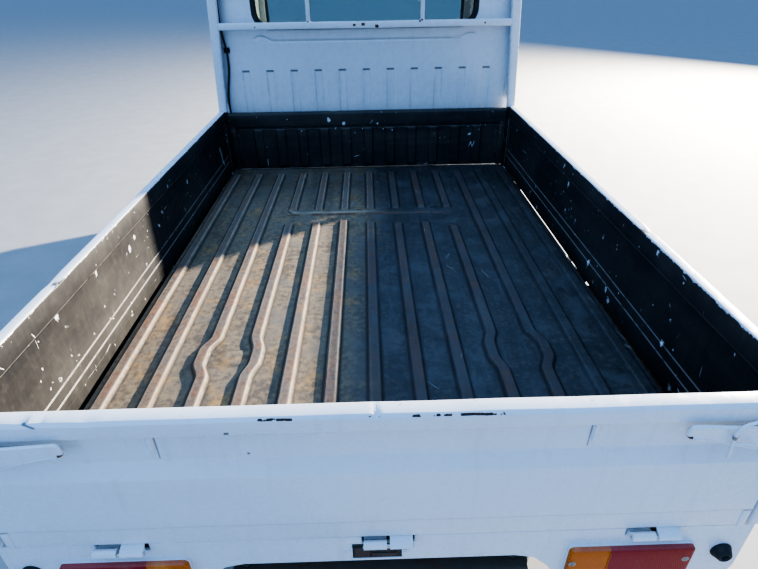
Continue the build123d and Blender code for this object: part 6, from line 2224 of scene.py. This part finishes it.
def rim(axle, axle_y, name, side):
    c = (side * WHEEL_X, axle_y, WHEEL_R)
    ax = (side, 0, 0)
    b = Build()
    # barrel with bead seats and rolled edges
    b.lathe([(-40.5, 14.3), (-40.5, 96), (-38, 103), (-6, 104.5), (-3, 107), (-3, 140), (-55, 141), (-60.5, 147), (-62.2, 154), (-62.4, 163.4), (-60, 165),
             (-57.5, 163.6), (-57, 152), (-30, 150), (-20, 145.6), (20, 145.6), (30, 150), (57, 152), (57.5, 163.6), (60, 165), (62.4, 163.4),
             (62.2, 154), (60.5, 147), (55, 141.6), (12, 140.6), (7.5, 138), (7.5, 133), (-1.5, 133), (-1.5, 104), (8.5, 104), (11, 98), (19, 90), (20.5, 84),
             (20.5, 66), (18, 59), (12, 53), (11, 47), (11, 35), (13, 33.4), (-8, 33.4), (-8, 14.3)], c, ax, 96, closed=True)
    # disc with hand holes, drawn round the hub
    n = 10
    holes = [[(104.5 * math.cos(2 * math.pi * k / 72), 104.5 * math.sin(2 * math.pi * k / 72)) for k in range(72)]]
    for k in range(n):
        a0 = 2 * math.pi * (k + 0.5) / n
        o = []
        for q in range(20):
            t = 2 * math.pi * q / 20
            r = 119.5 + 8.5 * math.sin(t)
            a = a0 + 0.115 * math.cos(t)
            o.append((r * math.cos(a), r * math.sin(a)))
        holes.append(o)
    outer = [(134 * math.cos(2 * math.pi * k / 96), 134 * math.sin(2 * math.pi * k / 96)) for k in range(96)]
    def place(u, v, w):
        r = math.hypot(u, v)
        crown = 2.4 * math.sin(math.pi * (r - 104) / 30) if 104 < r < 134 else 0
        lip = 1.6 * max([bell(math.hypot(u - 119.5 * math.cos(2 * math.pi * (k + 0.5) / n), v - 119.5 * math.sin(2 * math.pi * (k + 0.5) / n)), 13, 3.0) for k in range(n)])
        return (c[0] + side * (7.0 + crown + lip - 7.0 * w), c[1] + u, c[2] + v)
    sheet(b, outer, holes, [], [], place, step=9)
    # wheel nuts on their seats, valve, dust cap
    for k in range(4):
        a = math.radians(45 + 90 * k)
        p = (c[0] + side * 11, c[1] + 45 * math.cos(a), c[2] + 45 * math.sin(a))
        b.lathe([(-1, 0), (-1, 12), (1.5, 11), (2, 9.6), (13, 9.6), (14.5, 8), (14.5, 4.5), (13, 4.2), (13, 0)], p, ax, 6, slot=1)
        b.lathe([(12, 0), (12, 4.4), (19, 4.4), (20, 3.6), (20, 0)], p, ax, 12, slot=1)
    b.lathe([(-8, 14.3), (-8, 33), (18, 31.5), (28, 28), (32.4, 22), (34, 12), (34, 0), (30, 0), (30, 14.3)], c, ax, 40, slot=1, closed=True)
    va = math.radians(20)
    vd = Vector((0, math.cos(va), math.sin(va)))
    vc = Vector((c[0] + side * 9, c[1], c[2]))
    b.tube([vc + vd * 137, vc + vd * 131 + Vector((side * 8, 0, 0)), vc + vd * 126 + Vector((side * 20, 0, 0))], 3.2, 10, slot=2)
    return b.make("rim_skin_%s_%s" % (axle, name), [M["rim"], M["steel"], M["rubber"]], "wheel_%s_%s" % (axle, name), 32,
                  ["rim_%s_%s" % (axle, name)])


for axle, axle_y in (("front", FRONT_AXLE), ("rear", REAR_AXLE)):
    for name, side in SIDES:
        tyre(axle, axle_y, name, side)
        rim(axle, axle_y, name, side)

# ---- underbody fittings: U-bolts, shackle nuts, dampers, springs, brake lines
b = Build()
for name, side in SIDES:
    for y in (REAR_AXLE - 45, REAR_AXLE + 45):
        b.tube([(side * 399, y, 222), (side * 399, y, 338), (side * 405, y, 349), (side * 412, y, 352), (side * 448, y, 352), (side * 455, y, 349),
                (side * 461, y, 338), (side * 461, y, 222)], 5, 8)
        for x in (399, 461):
            b.lathe([(0, 0), (0, 8.4), (7, 8.4), (8.5, 7), (8.5, 0)], (side * x, y, 228), (0, 0, -1), 6)
    b.box(side * 390, side * 470, REAR_AXLE - 56, REAR_AXLE + 56, 227, 235, 3)
    for y in (REAR_AXLE - 470, REAR_AXLE + 470):
        b.lathe([(-30, 0), (-30, 9), (-26, 10), (-26, 16.6), (26, 16.6), (26, 10), (36, 10), (36, 0)], (side * 430, y, 398), (side, 0, 0), 20)
    # damper beside the rail
    lo, hi = Vector((side * 380, -800, 262)), Vector((side * 372, -690, 500))
    d = (hi - lo).normalized()
    b.lathe([(0, 0), (0, 18), (6, 20), (128, 20), (132, 17), (132, 8), (140, 8), (140, 23), (244, 23), (248, 20), (248, 8), (264, 8), (264, 0)], lo, d, 24)
    b.lathe([(-16, 0), (-16, 12), (16, 12), (16, 0)], (side * 380, -800, 256), (side, 0, 0), 16)
    b.lathe([(-26, 0), (-26, 12), (10, 12), (10, 0)], (side * 371, -688, 506), (side, 0, 0), 16)
    b.box(side * 372, side * 388, -842, -802, 250, 276, 3)
    # spring round the front strut
    b.tube([(side * 470 + 36 * math.cos(math.pi * k / 12), FRONT_AXLE + 36 * math.sin(math.pi * k / 12), 404 + 172 * k / 120) for k in range(121)], 4.6, 8)
    b.lathe([(0, 24), (0, 38), (3, 40), (6, 38), (6, 24)], (side * 470, FRONT_AXLE, 394), (0, 0, 1), 32, closed=True)
    b.lathe([(0, 24), (0, 42), (4, 44), (7, 40), (7, 24)], (side * 470, FRONT_AXLE, 586), (0, 0, 1), 32, closed=True)
    # bolts of the lower arms
    b.lathe([(-30, 0), (-30, 9), (-22, 9), (-22, 20), (22, 20), (22, 9), (30, 9), (30, 0)], (side * 338, FRONT_AXLE, 276), (0, 1, 0), 18)
b.make("underbody_fittings", M["frame"], "chassis", 40)

b = Build()
# brake pipe along the axle and on the right rail, handbrake cables
b.tube([(-520, -830, 312), (-300, -826, 310), (-120, -822, 322), (-100, -800, 384), (100, -800, 384), (120, -822, 322), (300, -826, 310), (520, -830, 312)], 3.0, 8)
b.tube([(60, -798, 386), (90, -740, 460), (190, -700, 528), (296, -680, 526), (300, -640, 523.4), (300, 350, 523.4)], 3.0, 8)
b.tube([(-24, 420, 440), (-60, 300, 436), (-180, -240, 424), (-300, -640, 330), (-376, -780, 262), (-520, -812, 262)], 5.0, 8)
b.tube([(24, 420, 440), (60, 300, 436), (170, -240, 432), (262, -430, 430), (318, -600, 392), (356, -740, 290), (384, -846, 226), (520, -846, 226)], 5.0, 8)
b.make("brake_lines", M["rubber"], "chassis", 60)

# straps and seam of the tank, its filler neck
b = Build()
for y in (-250, 50):
    o = round_outline([(-622, 328), (-370, 328), (-370, 562), (-622, 562)], 31, 5)
    rings = [[(u, y - 14, v) for u, v in o], [(u, y + 14, v) for u, v in o], [(u, y + 14, v) for u, v in inset_outline(o, 3)], [(u, y - 14, v) for u, v in inset_outline(o, 3)]]
    b.rings(rings, loop=True)
o = round_outline([(-622.5, -332), (-369.5, -332), (-369.5, 132), (-622.5, 132)], 22, 4)
b.rings([[(u, v, 441) for u, v in o], [(u, v, 449) for u, v in o], [(u, v, 449) for u, v in inset_outline(o, 8)], [(u, v, 441) for u, v in inset_outline(o, 8)]], loop=True)
b.tube([(-600, 60, 540), (-632, 60, 560), (-650, 60, 566)], 17, 16)
b.lathe([(0, 0), (0, 26), (10, 26), (14, 22), (14, 0)], (-648, 60, 566), (-1, 0, 0.1), 28)
b.make("tank_straps", M["frame"], "chassis", 40)

# exhaust: end seams, flange, rubber hangers
b = Build()
for y in (-1478, -1154):
    b.lathe([(-4, 20), (-4, 62), (-2, 64.5), (2, 64.5), (4, 62), (4, 20)], (225, y, 374), (0, 1, 0), 40, closed=True)
b.lathe([(-6, 15), (-6, 34), (6, 34), (6, 15)], (225, 250, 378), (0, 1, 0), 24, closed=True)
for y in (-1560, -1120, -300):
    b.tube([(225, y, 396), (225, y, 420), (232, y, 440), (240, y, 462)], 4.5, 8, slot=1)
    b.box(224, 300, y - 7, y + 7, 460, 472, 3, slot=2)
b.lathe([(-3, 13.5), (-3, 17.4), (70, 17.8), (72, 17), (72, 13.5)], (225, -1600, 368), (0, 1, 0), 28, closed=True)
b.make("exhaust_fittings", [M["exhaust"], M["rubber"], M["frame"]], "chassis", 40)

# axle: drums with ribs, differential cover bolts
b = Build()
for side in (-1, 1):
    b.lathe([(0, 38), (0, 93), (2, 95), (22, 95), (24, 92), (24, 38)], (side * 526, REAR_AXLE, WHEEL_R), (side, 0, 0), 48, closed=True)
    for k in range(24):
        a = 2 * math.pi * k / 24
        b.box(0, 1, 0, 1, 0, 1, 0.2, turn=lambda x, y, z, a=a, side=side: (side * (529 + 18 * x), REAR_AXLE + (94 + 2.5 * z) * math.cos(a) + 3 * (y - 0.5) * math.sin(a),
                                                                       WHEEL_R + (94 + 2.5 * z) * math.sin(a) - 3 * (y - 0.5) * math.cos(a)))
for k in range(10):
    a = 2 * math.pi * (k + 0.5) / 10
    b.lathe([(0, 0), (0, 7), (5, 7), (6, 5.6), (6, 0)], (62 * math.cos(a) * 1.2, REAR_AXLE - 70, WHEEL_R + 62 * math.sin(a)), (0, -1, 0), 6)
rings = []
for y, r in ((-40, 96), (-60, 92), (-76, 82), (-92, 58), (-99, 26), (-100, 4)):
    rings.append([(1.18 * r * math.cos(2 * math.pi * k / 36), REAR_AXLE + y, WHEEL_R + r * math.sin(2 * math.pi * k / 36)) for k in range(36)])
b.rings(rings)
b.make("axle_drums", M["cast"], "chassis", 40)

# engine: sump ribs and pulleys on the block's front, and a short cylinder at its side
b = Build()
b.box(-150, 150, 540, 850, 262, 302, 14, seg=3)
for k in range(6):
    b.box(-188, 188, 520 + 62 * k, 526 + 62 * k, 296, 303, 1)
for x, z, r in ((0, 372, 62), (118, 470, 38), (-112, 500, 44)):
    b.lathe([(0, 0), (0, r), (6, r), (12, r - 6), (18, r), (24, r), (24, 12), (30, 10), (30, 0)], (x, 879, z), (0, 1, 0), 40)
b.lathe([(0, 0), (0, 26), (90, 26), (94, 22), (94, 0)], (196, 700, 360), (1, 0, -0.25), 28, slot=1)
b.make("engine_fittings", [M["cast"], M["frame"]], "chassis", 40)

# ---- carried-over nodes: rounded edges and their own paints
for name in ("ladder_frame", "tow_eyes", "propshaft", "leaf_springs", "front_crossmember", "lower_arms", "front_struts", "steering_rack"):
    finish_cad(name, M["frame"], 1.8)
for name in ("engine_block", "rear_axle", "knuckle_left", "knuckle_right"):
    finish_cad(name, M["cast"], 1.4)
finish_cad("fuel_tank", M["frame"], 2.5)
finish_cad("exhaust", M["exhaust"], 1.2)
finish_cad("front_bumper", M["bumper"], 3.0)
for name in ("cab_side_left", "cab_side_right"):
    finish_cad(name, M["white_clean"], 1.6)
finish_cad("cab_floor", M["mat"], 1.2)
for name in ("windscreen", "rear_window", "door_glass_left", "door_glass_right"):
    finish_cad(name, M["glass"], 0.5)

# ============================================================ cable, clips
CABLE = [(-636, 1600), (-634, 1535), (-637, 1468), (-640, 1400), (-642, 1344), (-642, 1292), (-637, 1246), (-629, 1198),
         (-628, 1148), (-634, 1092), (-646, 1036), (-654, 982), (-653, 926), (-649, 884)]
data = bpy.data.curves.new("cab_cable_skin", "CURVE")
data.dimensions = "3D"
line = data.splines.new("NURBS")
line.points.add(len(CABLE) - 1)
for point, (x, z) in zip(line.points, CABLE):
    point.co = (x * 0.001, 0.409, z * 0.001, 1)
line.order_u = 3
line.use_endpoint_u = True
line.resolution_u = 12
data.bevel_depth = 0.0045
data.bevel_resolution = 4
data.resolution_u = 12
data.materials.append(M["rubber"])
cable = bpy.data.objects.new("cab_cable_skin", data)
bpy.context.scene.collection.objects.link(cable)
attach(cable, "chassis", ["cab_cable"])

b = Build()


def boot(x, z, sign):
    """Ribbed rubber boot where the cable enters the wall."""
    rings = []
    for w, hx, y0 in ((0, 6.2, 404.4), (3, 7.4, 403.4), (6, 6.6, 403.9), (9, 8.4, 402.9), (12, 7.6, 403.4), (16, 10.4, 402.6), (20, 9.8, 402.8),
                      (25, 13.0, 402.4), (32, 13.6, 402.4), (34, 12.4, 404)):
        sec = round_outline([(-hx, y0), (hx, y0), (hx, 418), (-hx, 418)], min(6, hx * 0.9), 4)
        rings.append([(x + u, v, z + sign * w) for u, v in sec])
    b.rings(rings)


boot(-636, 1601, 1)
boot(-649, 883, -1)
# clip: strap over the cable, screw at its ear
rings = []
for w in (-13, -11, -9, -7.5, -5, -2.5, 0, 2.5, 5, 7.5, 9, 11, 13):
    y = 409 - math.sqrt(max(0.0, 6.6 ** 2 - min(6.6, abs(w)) ** 2)) if abs(w) < 6.6 else 409 + 5.6 * smooth((abs(w) - 6.6) / 2.6)
    y = max(402.3, min(414.6, y))
    rings.append([(-629.5 + w, y, 1186), (-629.5 + w, y, 1208), (-629.5 + w, y + 1.8, 1208), (-629.5 + w, y + 1.8, 1186)])
b.rings(rings)
b.lathe([(0, 0), (0, 4.2), (1.2, 4.0), (2.4, 2.6), (2.6, 0)], (-618.5, 415.6, 1197), (0, -1, 0), 14)
b.make("cable_clip_skin", M["rubber"], "chassis", 50, ["cable_clips"])

# ============================================================ floor, light
def make_ground():
    m = Mat("studio_floor", 0.85, 0, (0.40, 0.395, 0.385))
    fine = m.noise(5, 4, 0.6)
    m.color(m.mix(m.step(fine, 0.3, 0.8), (0.385, 0.38, 0.37), (0.430, 0.425, 0.415)))
    m.bump((m.noise(60, 3, 0.6), 0.08, 0.002))
    return m.m


me = bpy.data.meshes.new("studio_floor")
R = 40.0
bm = bmesh.new()
bmesh.ops.create_grid(bm, x_segments=8, y_segments=8, size=R)
bm.to_mesh(me)
bm.free()
ground = bpy.data.objects.new("studio_floor", me)
me.materials.append(make_ground())
bpy.context.scene.collection.objects.link(ground)
ground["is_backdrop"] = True

world = bpy.data.worlds.new("studio_sky")
bpy.context.scene.world = world
world.use_nodes = True
bg = world.node_tree.nodes["Background"]
bg.inputs["Color"].default_value = (0.27, 0.52, 1.0, 1)
bg.inputs["Strength"].default_value = 0.68


def area(name, loc, target, size, power, color):
    data = bpy.data.lights.new(name, "AREA")
    data.shape = "RECTANGLE"
    data.size, data.size_y = size
    data.energy = power
    data.color = color
    ob = bpy.data.objects.new(name, data)
    bpy.context.scene.collection.objects.link(ob)
    ob.location = loc
    ob.rotation_euler = (Vector(target) - Vector(loc)).to_track_quat("-Z", "Y").to_euler()
    return ob


# low key from the front right, as the photograph's long shadows show; a wide
# soft fill from behind and one from above
area("key", (7.03, 5.33, 3.147), (0, 0, 0.7), (0.20, 0.20), 3800, (1.0, 0.89, 0.73))
area("fill", (-4.0, -7.0, 4.0), (0, -0.6, 0.7), (6, 6), 120, (0.34, 0.60, 1.0))
area("top", (0.0, -0.5, 8.0), (0, -0.5, 0), (7, 9), 150, (0.45, 0.70, 1.0))

# camera at the photograph's place, behind the tailgate and looking down
cam_data = bpy.data.cameras.new("camera")
cam = bpy.data.objects.new("camera", cam_data)
bpy.context.scene.collection.objects.link(cam)
yaw, pitch, roll = math.radians(-1.006), math.radians(31.047), math.radians(-0.913)
f = Vector((-math.sin(yaw) * math.cos(pitch), math.cos(yaw) * math.cos(pitch), -math.sin(pitch)))
r = Vector((math.cos(yaw), math.sin(yaw), 0))
u = r.cross(f)
right = r * math.cos(roll) + u * math.sin(roll)
up = -r * math.sin(roll) + u * math.cos(roll)
cam.matrix_world = Matrix((
    (right.x, up.x, -f.x, -0.0041),
    (right.y, up.y, -f.y, -2.1828),
    (right.z, up.z, -f.z, 1.5057),
    (0, 0, 0, 1)))
cam_data.sensor_width = 36.0
cam_data.lens = 24.97
cam_data.clip_start = 0.02
cam_data.clip_end = 200
bpy.context.scene.camera = cam

scene = bpy.context.scene
scene.view_settings.view_transform = "AgX"
scene.view_settings.look = "AgX - High Contrast"
scene.view_settings.exposure = 0.35

low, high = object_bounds()
